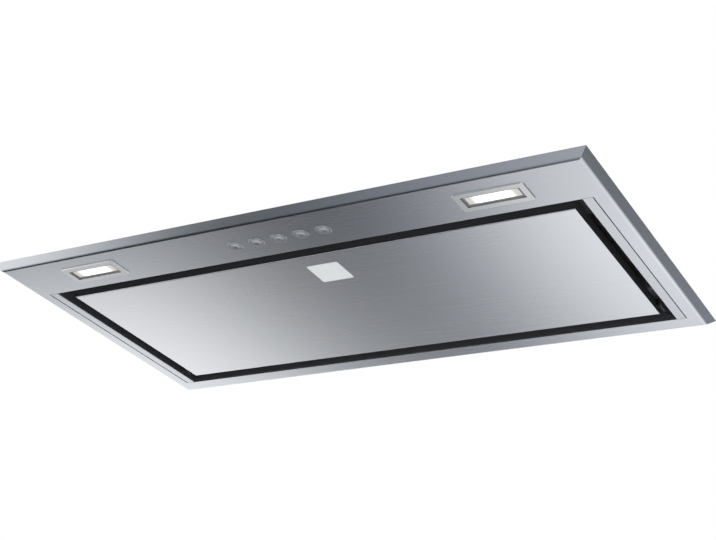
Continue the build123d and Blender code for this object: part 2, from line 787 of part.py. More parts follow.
def make_collar():
    """Moulded spigot: square flange, seat for the flaps, straight tube and a tapered mouth"""
    top = HOUSING_TOP + SPIGOT_HEIGHT
    inner = SPIGOT_RADIUS - SPIGOT_WALL
    section = polygon(
        [
            (inner - FLAP_SEAT, HOUSING_TOP),
            (SPIGOT_RADIUS, HOUSING_TOP),
            (SPIGOT_RADIUS, top - SPIGOT_TAPER),
            (SPIGOT_RADIUS - 0.8, top),
            (inner, top),
            (inner, FLAP_SEAT_Z),
            (inner - FLAP_SEAT, FLAP_SEAT_Z),
        ]
    )
    tube = revolve(Plane.XZ * section, Axis.Z)
    plate = RectangleRounded(COLLAR_FLANGE, COLLAR_FLANGE, COLLAR_CORNER) - Circle(inner)
    half = COLLAR_SCREW_HALF
    for x in (-half, half):
        for y in (-half, half):
            plate -= Pos(x, y) * Circle(SCREW_RADIUS)
    collar = tube + raised(plate, HOUSING_TOP, HOUSING_TOP + COLLAR_THICK)
    start = (0, -flap_pin_reach(), FLAP_PIN_Z)
    collar -= rod(start, (0, 1, 0), FLAP_PIN_RADIUS, 2 * flap_pin_reach())
    return Pos(0, OUTLET_Y, 0) * collar


def make_flap_pin():
    """Pin across the spigot, on which both flaps swing"""
    start = (0, OUTLET_Y - flap_pin_reach(), FLAP_PIN_Z)
    return rod(start, (0, 1, 0), FLAP_PIN_RADIUS, 2 * flap_pin_reach())


def make_flap(side, stations):
    """Half-disc flap on one side of the pin, with knuckles at its own stations along it"""
    half_plane = Pos(side * (FLAP_RADIUS + FLAP_SPLIT), 0) * Rectangle(2 * FLAP_RADIUS, 2 * FLAP_RADIUS)
    flap = raised(Circle(FLAP_RADIUS) & half_plane, FLAP_Z, FLAP_Z + FLAP_THICK)
    for y in (-24, 24):
        flap += raised(Pos(side * 30, y) * Rectangle(44, 1.4), FLAP_Z, FLAP_Z + 2.6)
    bore = FLAP_PIN_RADIUS + FLAP_PIN_CLEARANCE
    for station in stations:
        start = (station - 1.5) * KNUCKLE_PITCH - KNUCKLE_LENGTH / 2
        end = start + KNUCKLE_LENGTH
        flap += rod((0, start, FLAP_PIN_Z), (0, 1, 0), KNUCKLE_RADIUS, KNUCKLE_LENGTH)
        flap += block(side * 1.0, side * 7, start, end, FLAP_Z, FLAP_PIN_Z - 0.6)
        flap -= rod((0, start - 1, FLAP_PIN_Z), (0, 1, 0), bore, KNUCKLE_LENGTH + 2)
    return Pos(0, OUTLET_Y, 0) * flap


# Push buttons


def make_button(x):
    """Round cap with a dished face, a retaining collar and a short plunger"""
    face = FACE_Z - BUTTON_PROUD
    section = polygon(
        [
            (0, face + 0.5),
            (BUTTON_RADIUS - 1.2, face),
            (BUTTON_RADIUS - 0.3, face),
            (BUTTON_RADIUS, face + 0.3),
            (BUTTON_RADIUS, SHOULDER_Z + 0.1),
            (BUTTON_COLLAR_RADIUS, SHOULDER_Z + 0.1),
            (BUTTON_COLLAR_RADIUS, SHOULDER_Z + 1.3),
            (1.5, SHOULDER_Z + 1.3),
            (1.5, SHOULDER_Z + 1.7),
            (0, SHOULDER_Z + 1.7),
        ]
    )
    return Pos(x, BUTTON_Y, 0) * revolve(Plane.XZ * section, Axis.Z)


def make_button_rings():
    """Thin metal rings pressed into the face round each button"""
    rings = []
    for x in button_places():
        outline = Circle(BUTTON_RING_RADIUS) - Circle(BUTTON_GUIDE_RADIUS)
        ring = raised(Pos(x, BUTTON_Y) * outline, FACE_Z - 0.3, FACE_TOP)
        lower = ring.faces().sort_by(Axis.Z)[0].edges()
        rings.append(chamfer(lower.sort_by(SortBy.LENGTH)[-1], 0.25))
    return Compound(rings)


def make_switch_housing():
    """Moulded carrier: a guide for each button below, an open box for the board above"""
    outline = RectangleRounded(2 * SWITCH_HALF_X, 2 * SWITCH_HALF_Y, 3)
    hollow = RectangleRounded(2 * SWITCH_HALF_X - 4, 2 * SWITCH_HALF_Y - 4, 2)
    well_floor = BOARD_Z - 3.6
    carrier = raised(outline, FACE_TOP, SWITCH_TOP) - raised(hollow, BOARD_Z, SWITCH_TOP)
    carrier = Pos(STRIP_MIDDLE_X, BUTTON_Y, 0) * carrier
    for x in button_places():
        carrier -= raised(Pos(x, BUTTON_Y) * Circle(BUTTON_GUIDE_RADIUS), FACE_TOP, SHOULDER_Z)
        carrier -= raised(Pos(x, BUTTON_Y) * Circle(BUTTON_COLLAR_RADIUS + 0.4), SHOULDER_Z, well_floor)
        carrier -= raised(Pos(x, BUTTON_Y) * Rectangle(10, 10), well_floor, BOARD_Z)
    return carrier


def make_switch_board():
    """Circuit board that closes the wells above the buttons"""
    outline = RectangleRounded(2 * SWITCH_HALF_X - 5, 2 * SWITCH_HALF_Y - 5, 1.5)
    return Pos(STRIP_MIDDLE_X, BUTTON_Y, 0) * raised(outline, BOARD_Z, BOARD_Z + BOARD_THICK)


def make_switches():
    """Sprung micro-switches that hang under the board, one over each button"""
    switches = []
    actuator_end = SHOULDER_Z + 1.7 + BUTTON_TRAVEL + 0.1
    for x in button_places():
        body = Pos(x, BUTTON_Y, BOARD_Z - 1.75) * Box(6, 6, 3.5)
        tip = rod((x, BUTTON_Y, actuator_end), (0, 0, 1), 1.7, BOARD_Z - 3.5 - actuator_end)
        switches.append(body + tip)
    return Compound(switches)


def make_switch_cover():
    """Lid over the circuit board"""
    outline = RectangleRounded(2 * SWITCH_HALF_X, 2 * SWITCH_HALF_Y, 3)
    cover = raised(outline, SWITCH_TOP, SWITCH_TOP + 1.5)
    cover = chamfer(cover.faces().sort_by(Axis.Z)[-1].edges(), 0.6)
    return Pos(STRIP_MIDDLE_X, BUTTON_Y, 0) * cover


# Lamps


def lamp_neck():
    """Outline of the lamp body where it passes through the face sheet"""
    return Rectangle(LAMP_WIDTH - 2 * LAMP_NECK_INSET, LAMP_DEPTH - 2 * LAMP_NECK_INSET)


def lamp_well():
    """Outline of the space above the window that holds the lens and the board"""
    return Rectangle(LAMP_WINDOW_X + 2 * LENS_MARGIN, LAMP_WINDOW_Y + 2 * LENS_MARGIN)


def make_lamp_bezel(x):
    """Bezel at one place: a thin rim under the face, a window and a neck through the sheet"""
    rim_z = FACE_Z - LAMP_RIM
    rim = raised(RectangleRounded(LAMP_WIDTH, LAMP_DEPTH, LAMP_CORNER), rim_z, FACE_Z)
    rim = chamfer(rim.faces().sort_by(Axis.Z)[0].edges(), 0.5)
    body = rim + raised(lamp_neck(), FACE_Z, LAMP_NECK_TOP)
    body -= raised(lamp_well(), LENS_Z, LAMP_NECK_TOP)
    body -= raised(Rectangle(LAMP_WINDOW_X, LAMP_WINDOW_Y), rim_z, LENS_Z)
    return Pos(x, LAMP_Y, 0) * body


def make_lamp_lens(x):
    """Diffuser at one place: a slab behind the window, with a field that fills it but for a groove"""
    well = offset(lamp_well(), -0.2)
    lens = raised(well, LENS_Z, LENS_Z + LENS_THICK)
    window = Rectangle(LAMP_WINDOW_X, LAMP_WINDOW_Y)
    field = raised(offset(window, -LENS_GROOVE, kind=Kind.INTERSECTION), LENS_Z - LENS_FIELD, LENS_Z)
    field = chamfer(field.faces().sort_by(Axis.Z)[0].edges(), 0.6)
    return Pos(x, LAMP_Y, 0) * (lens + field)


def make_lamp_housing(x):
    """Finned cap at one place, which clamps the bezel's neck from above"""
    cap = raised(RectangleRounded(LAMP_WIDTH + 5, LAMP_DEPTH + 4, 2), FACE_TOP, LAMP_HOUSING_TOP)
    cap -= raised(lamp_neck(), FACE_TOP, LAMP_NECK_TOP)
    pitch = LAMP_WIDTH / FIN_COUNT
    for index in range(FIN_COUNT):
        across = (index - (FIN_COUNT - 1) / 2) * pitch
        cap -= Pos(across, 0, LAMP_HOUSING_TOP) * Box(pitch * 0.5, LAMP_DEPTH + 6, 16)
    return Pos(x, LAMP_Y, 0) * cap


def make_lamp_boards():
    """Two boards with their row of light sources, seated at the top of the necks"""
    board_z = LAMP_NECK_TOP - BOARD_THICK
    board = raised(offset(lamp_well(), -0.3), board_z, LAMP_NECK_TOP)
    for index in range(4):
        board += Pos((index - 1.5) * 11, 0, board_z - 0.3) * Box(3.5, 2.8, 0.6)
    return Compound([Pos(x, LAMP_Y, 0) * board for x in lamp_places()])


# Grease filters


def make_filter_frame():
    """Right-hand filter's folded channel, rear hooks and latch pocket"""
    ends = (FILTER_FRONT, FILTER_BACK)
    x0, x1, lip = FILTER_INNER_X, FILTER_OUTER_X, FILTER_LIP
    frame = block(x0, x1, *ends, FILTER_BOTTOM, FILTER_TOP)
    corners = frame.edges().filter_by(Axis.Z)
    frame = fillet(corners, 3)
    inside = (FILTER_FRONT + SHEET, FILTER_BACK - SHEET)
    frame -= block(x0 + SHEET, x1 - SHEET, *inside, FILTER_BOTTOM + SHEET, FILTER_TOP - SHEET)
    window = (FILTER_FRONT + lip, FILTER_BACK - lip)
    frame -= block(x0 + lip, x1 - lip, *window, FILTER_BOTTOM - 1, FILTER_TOP + 1)
    middle = FILTER_MIDDLE_X
    half = LATCH_HALF + 0.5
    pocket = block(middle - half - 1, middle + half + 1, FILTER_FRONT, POCKET_BACK, FILTER_BOTTOM, FILTER_TOP - 1)
    pocket -= block(
        middle - half, middle + half, FILTER_FRONT + SHEET, POCKET_BACK - SHEET, FILTER_BOTTOM + 1, FILTER_TOP - 2
    )
    frame += pocket
    ease = 0.4
    tongue = (TONGUE_LOW - ease, TONGUE_HIGH + ease)
    frame -= block(middle - half, middle + half, FILTER_FRONT - 1, FILTER_FRONT + 2, *tongue)
    frame -= block(middle - 11, middle + 11, -69, -58.5, FILTER_BOTTOM - 1, FILTER_BOTTOM + 1.5)
    for hook in (-HOOK_SPREAD, HOOK_SPREAD):
        x = middle + hook
        tip = FILTER_BACK + HOOK_REACH
        frame += block(x - HOOK_HALF, x + HOOK_HALF, FILTER_BACK, tip, TONGUE_LOW + 0.7, TONGUE_LOW + 2.2)
    return frame


def make_filter_mesh():
    """Right-hand grease mesh: a pad with staggered diamond openings and a notch for the latch pocket"""
    x0, x1 = FILTER_INNER_X + SHEET, FILTER_OUTER_X - SHEET
    y0, y1 = FILTER_FRONT + SHEET, FILTER_BACK - SHEET
    half = LATCH_HALF + 1.5
    pad = Pos((x0 + x1) / 2, (y0 + y1) / 2) * RectangleRounded(x1 - x0, y1 - y0, 2)
    notch = Pos(FILTER_MIDDLE_X, (y0 + POCKET_BACK) / 2) * Rectangle(2 * half, POCKET_BACK - y0)
    pad -= notch
    pitch_x = (x1 - x0 - 2 * FILTER_LIP) / MESH_COLUMNS
    pitch_y = (y1 - y0 - 2 * FILTER_LIP) / MESH_ROWS
    diamond = polygon([(-pitch_x / 2, 0), (0, -pitch_y / 2), (pitch_x / 2, 0), (0, pitch_y / 2)])
    diamond = scale(diamond, MESH_OPEN)
    for row in range(MESH_ROWS):
        stagger = 0.5 * (row % 2)
        for column in range(MESH_COLUMNS - row % 2):
            x = x0 + FILTER_LIP + (column + 0.5 + stagger) * pitch_x
            y = y0 + FILTER_LIP + (row + 0.5) * pitch_y
            near_pocket = abs(x - FILTER_MIDDLE_X) < half + pitch_x / 2 and y - pitch_y / 2 < POCKET_BACK
            if not near_pocket:
                pad -= Pos(x, y) * diamond
    return raised(pad, FILTER_BOTTOM + SHEET, FILTER_TOP - SHEET)


def make_filter_latch():
    """Right-hand latch: slider in the pocket, tongue through the front, finger grip below"""
    middle = FILTER_MIDDLE_X
    inside = (FILTER_BOTTOM + SHEET + 0.4, FILTER_TOP - 2 * SHEET - 0.4)
    front = FILTER_FRONT + SHEET + 0.3
    slider = block(middle - LATCH_HALF, middle + LATCH_HALF, front, LATCH_BACK, *inside)
    tongue = block(
        middle - LATCH_HALF, middle + LATCH_HALF, FILTER_FRONT - LATCH_REACH, front, TONGUE_LOW, TONGUE_HIGH
    )
    nose = tongue.edges().filter_by(Axis.X).group_by(Axis.Y)[0].sort_by(Axis.Z)[-1]
    tongue = chamfer(nose, 2.0)
    grip = block(middle - 10, middle + 10, -68.2, -65.2, FILTER_BOTTOM - LATCH_GRIP, inside[0])
    return slider + tongue + grip


# Electrical boxes


def make_capacitor():
    """Run capacitor on its stud, on the right-hand wall"""
    base = (HOUSING_HALF_X - SHEET, 70, 120)
    can = rod(base, (-1, 0, 0), 17, 62)
    far = can.edges().filter_by(GeomType.CIRCLE).sort_by(Axis.X)[0]
    return fillet(far, 2)


def make_control_box():
    """Closed control box with a raised lid seam, on the left-hand wall"""
    wall = -(HOUSING_HALF_X - SHEET)
    box = block(wall, wall + CONTROL_THICK, -55, 55, 85, 165)
    box = fillet(box.edges().filter_by(Axis.X), 5)
    seam = block(wall + 22, wall + 24, -57, 57, 83, 167)
    return box + fillet(seam.edges().filter_by(Axis.X), 6)


def make_terminal_box():
    """Open box on the lid for the supply terminals, with a cable hole towards the left"""
    outline = Pos(TERMINAL_X, TERMINAL_Y) * RectangleRounded(TERMINAL_LENGTH, TERMINAL_DEPTH, 4)
    box = raised(outline, HOUSING_TOP, HOUSING_TOP + TERMINAL_HEIGHT)
    box -= raised(offset(outline, -TERMINAL_WALL), HOUSING_TOP + TERMINAL_WALL, HOUSING_TOP + TERMINAL_HEIGHT)
    wall = TERMINAL_X - TERMINAL_LENGTH / 2
    return box - rod((wall - 1, TERMINAL_Y, GLAND_Z), (1, 0, 0), GLAND_BORE, TERMINAL_WALL + 2)


def make_terminal_block():
    """Three-way screw terminal block on the box's floor"""
    floor = HOUSING_TOP + TERMINAL_WALL
    body = block(TERMINAL_X + 2, TERMINAL_X + 20, TERMINAL_Y - 18, TERMINAL_Y + 18, floor, floor + 14)
    for index in (-1, 0, 1):
        place = (TERMINAL_X + 11, TERMINAL_Y + 12 * index, floor + 8)
        body -= rod(place, (0, 0, 1), 2.2, 7)
    return body


def make_terminal_cover():
    """Snap-on cover of the terminal box"""
    top = HOUSING_TOP + TERMINAL_HEIGHT
    outline = Pos(TERMINAL_X, TERMINAL_Y) * RectangleRounded(TERMINAL_LENGTH + 2, TERMINAL_DEPTH + 2, 5)
    cover = raised(outline, top, top + 3)
    return fillet(cover.faces().sort_by(Axis.Z)[-1].edges(), 1.2)


def make_gland():
    """Cable gland: hexagonal nut, domed cap and a clear bore; no cord is fitted"""
    wall = TERMINAL_X - TERMINAL_LENGTH / 2
    plane = Plane(origin=(wall, TERMINAL_Y, GLAND_Z), x_dir=(0, 1, 0), z_dir=(-1, 0, 0))
    nut = extrude(RegularPolygon(11, 6), 7)
    section = polygon([(0, 7), (9.5, 7), (9.5, 14), (7, GLAND_LENGTH), (0, GLAND_LENGTH)])
    dome = revolve(Plane.XZ * section, Axis.Z)
    return plane * (nut + dome - extrude(Circle(GLAND_BORE), GLAND_LENGTH))


def make_nodes():
    """Every piece of the hood by name"""
    strip = make_side_strip()
    side_wall = make_side_wall()
    blades = make_blades()
    filter_frame = make_filter_frame()
    filter_mesh = make_filter_mesh()
    filter_latch = make_filter_latch()
    nodes = {
        "face_tray": make_tray(),
        "side_strip_left": mirrored(strip),
        "side_strip_right": strip,
        "suction_frame": make_frame(),
        "panel_face": make_panel_face(),
        "panel_pan": make_panel_pan(),
        "panel_hinge_pins": make_hinge_pins(),
        "panel_hinge_brackets": make_hinge_brackets(),
        "panel_catch_magnets": make_catches(),
        "housing_front": make_end_wall(-1),
        "housing_back": make_end_wall(1),
        "housing_left": mirrored(side_wall),
        "housing_right": side_wall,
        "housing_top": make_top(),
        "pan_head_screws": make_screws(),
        "scroll_band": make_scroll_band(),
        "scroll_side_left": mirrored(make_scroll_side()),
        "scroll_side_right": make_scroll_side_right(),
        "wheel_disc": make_disc(),
        "wheel_blades_left": mirrored(blades),
        "wheel_blades_right": blades,
        "motor_shaft": make_shaft(),
        "motor_case": make_motor_case(),
        "motor_end_cap": make_motor_cap(),
        "motor_bearings": make_bearings(),
        "motor_mount": make_motor_mount(),
        "motor_bushes": make_bushes(),
        "duct_spigot": make_collar(),
        "flap_pin": make_flap_pin(),
        "flap_left": make_flap(-1, (0, 2)),
        "flap_right": make_flap(1, (1, 3)),
        "button_rings": make_button_rings(),
        "switch_housing": make_switch_housing(),
        "switch_board": make_switch_board(),
        "micro_switches": make_switches(),
        "switch_cover": make_switch_cover(),
        "lamp_boards": make_lamp_boards(),
        "filter_frame_left": mirrored(filter_frame),
        "filter_frame_right": filter_frame,
        "filter_mesh_left": mirrored(filter_mesh),
        "filter_mesh_right": filter_mesh,
        "filter_latch_left": mirrored(filter_latch),
        "filter_latch_right": filter_latch,
        "run_capacitor": make_capacitor(),
        "control_box": make_control_box(),
        "terminal_box": make_terminal_box(),
        "terminal_block": make_terminal_block(),
        "terminal_cover": make_terminal_cover(),
        "cable_gland": make_gland(),
    }
    for name, x in zip(BUTTON_NAMES, button_places()):
        nodes[name] = make_button(x)
    for side, x in zip(("left", "right"), lamp_places()):
        nodes[f"lamp_bezel_{side}"] = make_lamp_bezel(x)
        nodes[f"lamp_lens_{side}"] = make_lamp_lens(x)
        nodes[f"lamp_housing_{side}"] = make_lamp_housing(x)
    return nodes


os.makedirs("parts", exist_ok=True)
for node, shape in make_nodes().items():
    export_step(shape, f"parts/{node}.step")
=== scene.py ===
from math import cos, pi, radians, sin

import bmesh
import bpy
from bpy.props import FloatProperty, FloatVectorProperty, IntProperty, PointerProperty
from bpy.types import Operator, Panel, PropertyGroup
from mathutils import Matrix, Quaternion, Vector


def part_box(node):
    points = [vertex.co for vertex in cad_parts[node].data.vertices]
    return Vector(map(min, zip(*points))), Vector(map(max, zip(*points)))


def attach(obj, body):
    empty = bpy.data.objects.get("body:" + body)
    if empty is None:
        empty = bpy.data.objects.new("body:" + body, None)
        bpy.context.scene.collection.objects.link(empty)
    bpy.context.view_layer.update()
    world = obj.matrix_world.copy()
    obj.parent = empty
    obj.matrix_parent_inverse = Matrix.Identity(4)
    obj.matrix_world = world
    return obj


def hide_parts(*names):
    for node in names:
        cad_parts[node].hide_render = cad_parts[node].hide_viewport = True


bl_info = {
    "name": "Built-in range hood",
    "version": (1, 0, 0),
    "blender": (4, 5, 0),
    "location": "View3D > Sidebar > Hood",
    "description": "Finishes, fine parts and studio of a built-in canopy range hood",
    "category": "Object",
}

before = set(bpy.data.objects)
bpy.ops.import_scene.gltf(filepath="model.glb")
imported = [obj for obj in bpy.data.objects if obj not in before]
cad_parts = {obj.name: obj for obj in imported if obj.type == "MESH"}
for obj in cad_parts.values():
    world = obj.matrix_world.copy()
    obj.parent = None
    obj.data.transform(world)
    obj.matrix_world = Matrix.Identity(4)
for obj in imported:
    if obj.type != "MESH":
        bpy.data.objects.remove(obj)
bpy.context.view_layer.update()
MM = 0.001
MAIN_BODY = "hood"


# Settings


class StainlessSettings(PropertyGroup):
    """Brushed stainless sheet of the face, the side strips and the panel"""

    colour: FloatVectorProperty(
        name="Colour", description="Colour of the bare steel", subtype="COLOR", size=3,
        min=0, max=1, default=(0.64, 0.66, 0.695),
    )
    # Painted sheen: the same steel as the face, its colour raised so that the panel shows brighter; the
    # brightness is not a finer brushing
    panel_colour_with_sheen: FloatVectorProperty(
        name="Panel colour", description="Colour of the panel's finer brushed steel",
        subtype="COLOR", size=3, min=0, max=1, default=(0.8, 0.815, 0.845),
    )
    roughness: FloatProperty(
        name="Roughness", description="Mean roughness of the brushed surface", min=0, max=1, default=0.27
    )
    # Painted sheen: the face's colour is brightened towards the back in place of brighter reflections
    # there
    back_sheen_gain: FloatProperty(
        name="Back gain", description="How much brighter the face is towards the back",
        min=1, max=1.4, default=1.1,
    )
    anisotropy: FloatProperty(
        name="Brushing", description="How far the brushing stretches reflections",
        min=0, max=1, default=0.5,
    )
    lines: FloatProperty(
        name="Lines per metre", description="Density of the brushing lines", min=100, default=1400
    )


class HousingSettings(PropertyGroup):
    """Galvanised sheet of the housing and the blower casing"""

    colour: FloatVectorProperty(
        name="Colour", description="Colour of the zinc coat", subtype="COLOR", size=3,
        min=0, max=1, default=(0.56, 0.58, 0.6),
    )
    spangles: FloatProperty(
        name="Spangles per metre", description="Density of the zinc crystals", min=10, default=110
    )
    weld_radius: FloatProperty(
        name="Weld radius", description="Radius of a spot weld", subtype="DISTANCE", default=2.4 * MM
    )


class LampSettings(PropertyGroup):
    """Diffusers of the two lamps"""

    glow: FloatVectorProperty(
        name="Glow", description="Colour of the lit field", subtype="COLOR", size=3,
        min=0, max=1, default=(1.0, 0.99, 0.94),
    )
    strength: FloatProperty(
        name="Strength", description="Brightness of the lit field", min=0, default=1.05
    )


class FilterSettings(PropertyGroup):
    """Expanded mesh of the grease filters"""

    cell_width: FloatProperty(
        name="Cell width", description="Length of one diamond", subtype="DISTANCE", default=11 * MM
    )
    cell_depth: FloatProperty(
        name="Cell depth", description="Height of one diamond", subtype="DISTANCE", default=6 * MM
    )
    strand: FloatProperty(
        name="Strand", description="Width of one strand", subtype="DISTANCE", default=1.1 * MM
    )
    layers: IntProperty(name="Layers", description="Layers of mesh in a filter", min=1, default=3)


class PlateSettings(PropertyGroup):
    """Blank plate on the panel"""

    width: FloatProperty(name="Width", description="Size across", subtype="DISTANCE", default=28 * MM)
    depth: FloatProperty(
        name="Depth", description="Size front to back", subtype="DISTANCE", default=27 * MM
    )
    thickness: FloatProperty(
        name="Thickness", description="Thickness of the plate", subtype="DISTANCE", default=0.3 * MM
    )
    colour: FloatVectorProperty(
        name="Colour", description="Colour of the plate", subtype="COLOR", size=3,
        min=0, max=1, default=(0.8, 0.82, 0.84),
    )


class StudioSettings(PropertyGroup):
    """Camera, lamps, floor and backdrop"""

    camera_place: FloatVectorProperty(
        name="Camera", description="Place of the camera", subtype="XYZ", size=3,
        default=(0.5596, -0.8415, -0.4887),
    )
    camera_aim: FloatVectorProperty(
        name="Aim", description="Point in the middle of the picture", subtype="XYZ", size=3,
        default=(0.0348, -0.0397, -0.0054),
    )
    camera_roll: FloatProperty(
        name="Roll", description="Tilt of the camera about its line of sight", subtype="ANGLE",
        default=radians(6.91),
    )
    focal_length: FloatProperty(
        name="Focal length", description="Focal length in millimetres on a 36 mm frame", default=69.31
    )
    floor_height: FloatProperty(
        name="Floor", description="Height of the floor below the cabinet",
        subtype="DISTANCE", default=-1.6,
    )
    floor_colour: FloatVectorProperty(
        name="Floor colour", description="Colour of the floor", subtype="COLOR", size=3,
        min=0, max=1, default=(0.86, 0.86, 0.86),
    )
    ambient: FloatProperty(
        name="Ambient", description="Brightness of the light from all round", min=0, default=0.75
    )
    lamp_power: FloatProperty(
        name="Lamp power", description="Power of the large soft lamp", subtype="POWER", default=30
    )


class TentSettings(PropertyGroup):
    """Cloth round the studio, which only the metal reflects"""

    radius: FloatProperty(
        name="Radius", description="Radius of the tent", subtype="DISTANCE", default=1.45
    )
    left_cloth: FloatProperty(
        name="Left cloth", description="Brightness of the cloth on the left", min=0, default=1.32
    )
    right_cloth: FloatProperty(
        name="Right cloth", description="Brightness of the cloth on the right", min=0, default=1.3
    )
    near_cloth: FloatProperty(
        name="Near cloth", description="Brightness of the cloth low in front", min=0, default=1.25
    )
    floor_glow: FloatProperty(
        name="Floor glow", description="Brightness of the floor towards the back",
        min=0, default=0.12,
    )
    fill_cloth: FloatProperty(
        name="Fill cloth", description="Brightness of the cloth all round, beyond the others",
        min=0, default=0.6,
    )
    sky: FloatProperty(
        name="Upper cloth", description="Brightness of the cloth above the cabinet floor, on the left",
        min=0.55, default=1.05,
    )
    shade: FloatVectorProperty(
        name="Shade", description="Tint of the darkest cloth", subtype="COLOR", size=3,
        min=0, max=2, default=(0.88, 0.97, 1.12),
    )


class HoodSettings(PropertyGroup):
    """All settings of the hood"""

    stainless: PointerProperty(type=StainlessSettings)
    housing: PointerProperty(type=HousingSettings)
    lamp: PointerProperty(type=LampSettings)
    grease_filter: PointerProperty(type=FilterSettings)
    plate: PointerProperty(type=PlateSettings)
    studio: PointerProperty(type=StudioSettings)
    tent: PointerProperty(type=TentSettings)


# Shader groups that several finishes share


def new_group(name, inputs, outputs):
    """Empty shader group with float inputs and outputs; returns its tree and its two end nodes"""
    tree = bpy.data.node_groups.new(name, "ShaderNodeTree")
    for label, value in inputs:
        socket = tree.interface.new_socket(label, in_out="INPUT", socket_type="NodeSocketFloat")
        socket.default_value = value
    for label in outputs:
        tree.interface.new_socket(label, in_out="OUTPUT", socket_type="NodeSocketFloat")
    return tree, tree.nodes.new("NodeGroupInput"), tree.nodes.new("NodeGroupOutput")


def object_place(tree):
    """X, Y and Z of the place on the object"""
    split = tree.nodes.new("ShaderNodeSeparateXYZ")
    tree.links.new(tree.nodes.new("ShaderNodeTexCoord").outputs["Object"], split.inputs[0])
    return split.outputs


def scaled_place(tree, factors):
    """Place on the object, multiplied along each axis by a number or a socket"""
    place = tree.nodes.new("ShaderNodeTexCoord").outputs["Object"]
    combine = tree.nodes.new("ShaderNodeCombineXYZ")
    for socket, factor in zip(combine.inputs, factors):
        if isinstance(factor, (int, float)):
            socket.default_value = factor
        else:
            tree.links.new(factor, socket)
    product = tree.nodes.new("ShaderNodeVectorMath")
    product.operation = "MULTIPLY"
    tree.links.new(place, product.inputs[0])
    tree.links.new(combine.outputs[0], product.inputs[1])
    return product.outputs[0]


def noise(tree, place, detail):
    """Noise value at a place"""
    node = tree.nodes.new("ShaderNodeTexNoise")
    node.inputs["Scale"].default_value = 1
    node.inputs["Detail"].default_value = detail
    tree.links.new(place, node.inputs["Vector"])
    return node.outputs["Fac"]


def arithmetic(tree, operation, first, second=0.0):
    """One step of arithmetic on sockets or numbers"""
    node = tree.nodes.new("ShaderNodeMath")
    node.operation = operation
    for socket, value in zip(node.inputs, (first, second)):
        if isinstance(value, (int, float)):
            socket.default_value = value
        else:
            tree.links.new(value, socket)
    return node.outputs[0]


def combined(tree, operation, values):
    """Several sockets taken together by one operation, two at a time"""
    total, *others = values
    for value in others:
        total = arithmetic(tree, operation, total, value)
    return total


def weighted_sum(tree, pairs):
    """Sum of sockets, each multiplied by its share"""
    parts = [arithmetic(tree, "MULTIPLY", socket, share) for socket, share in pairs]
    return combined(tree, "ADD", parts)


def fade(tree, value, none, full, level=1.0):
    """Smooth rise from 0 where a value is `none` to a level where it is `full`"""
    node = tree.nodes.new("ShaderNodeMapRange")
    node.interpolation_type = "SMOOTHSTEP"
    node.inputs["From Min"].default_value = none
    node.inputs["From Max"].default_value = full
    node.inputs["To Max"].default_value = level
    tree.links.new(value, node.inputs["Value"])
    return node.outputs["Result"]


def brushing_group():
    """Fine straight lines along the hood's width, with broader faint streaks"""
    tree, given, result = new_group("brushing", [("Lines", 1400)], ["Height", "Tone"])
    breaks, streak_breaks, streak_density = 9, 2, 0.12
    lines = given.outputs["Lines"]
    streaks = arithmetic(tree, "MULTIPLY", lines, streak_density)
    fine = noise(tree, scaled_place(tree, (breaks, lines, lines)), detail=2)
    broad = noise(tree, scaled_place(tree, (streak_breaks, streaks, streaks)), detail=3)
    tree.links.new(fine, result.inputs["Height"])
    tree.links.new(weighted_sum(tree, ((fine, 0.7), (broad, 0.3))), result.inputs["Tone"])
    return tree


def grain_group():
    """Fine even grain of a moulding or a powder coat, and a faint broad change of tone"""
    tree, given, result = new_group("grain", [("Grains", 1500)], ["Height", "Tone"])
    grains = given.outputs["Grains"]
    clouds = 18
    fine = noise(tree, scaled_place(tree, [grains] * 3), detail=2)
    broad = noise(tree, scaled_place(tree, [clouds] * 3), detail=4)
    tree.links.new(fine, result.inputs["Height"])
    tree.links.new(broad, result.inputs["Tone"])
    return tree


def spangle_group():
    """Zinc crystals of two sizes, one tone for each, feathered by fine noise"""
    tree, given, result = new_group("spangle", [("Cells", 110)], ["Height", "Tone"])
    tones = []
    for fineness, weight in ((1.0, 0.45), (2.6, 0.25)):
        cells = arithmetic(tree, "MULTIPLY", given.outputs["Cells"], fineness)
        voronoi = tree.nodes.new("ShaderNodeTexVoronoi")
        voronoi.inputs["Scale"].default_value = 1
        tree.links.new(scaled_place(tree, [cells] * 3), voronoi.inputs["Vector"])
        split = tree.nodes.new("ShaderNodeSeparateColor")
        tree.links.new(voronoi.outputs["Color"], split.inputs[0])
        tones.append((split.outputs[0], weight))
    feathers = 700
    feather = noise(tree, scaled_place(tree, [feathers] * 3), detail=4)
    tones.append((feather, 0.3))
    tree.links.new(weighted_sum(tree, tones), result.inputs["Tone"])
    tree.links.new(feather, result.inputs["Height"])
    return tree


def placed_group(tree, name, values):
    """Group placed in a material, with its input values"""
    builders = {"brushing": brushing_group, "grain": grain_group, "spangle": spangle_group}
    node = tree.nodes.new("ShaderNodeGroup")
    node.node_tree = bpy.data.node_groups.get(name) or builders[name]()
    for label, value in values.items():
        node.inputs[label].default_value = value
    return node.outputs


# Steps that build a finish


def new_finish(name, colour, metallic=0.0, roughness=0.5):
    """Material with one Principled shader; returns the material, its tree and the shader"""
    material = bpy.data.materials.new(name)
    material.use_nodes = True
    tree = material.node_tree
    shader = tree.nodes["Principled BSDF"]
    shader.inputs["Base Color"].default_value = (*colour, 1)
    shader.inputs["Metallic"].default_value = metallic
    shader.inputs["Roughness"].default_value = roughness
    return material, tree, shader


def colour_mix(tree, mask, first, second):
    """Blend of two colours by a mask"""
    mix = tree.nodes.new("ShaderNodeMix")
    mix.data_type = "RGBA"
    mix.inputs["A"].default_value = (*first, 1)
    mix.inputs["B"].default_value = (*second, 1)
    tree.links.new(mask, mix.inputs["Factor"])
    return mix.outputs["Result"]


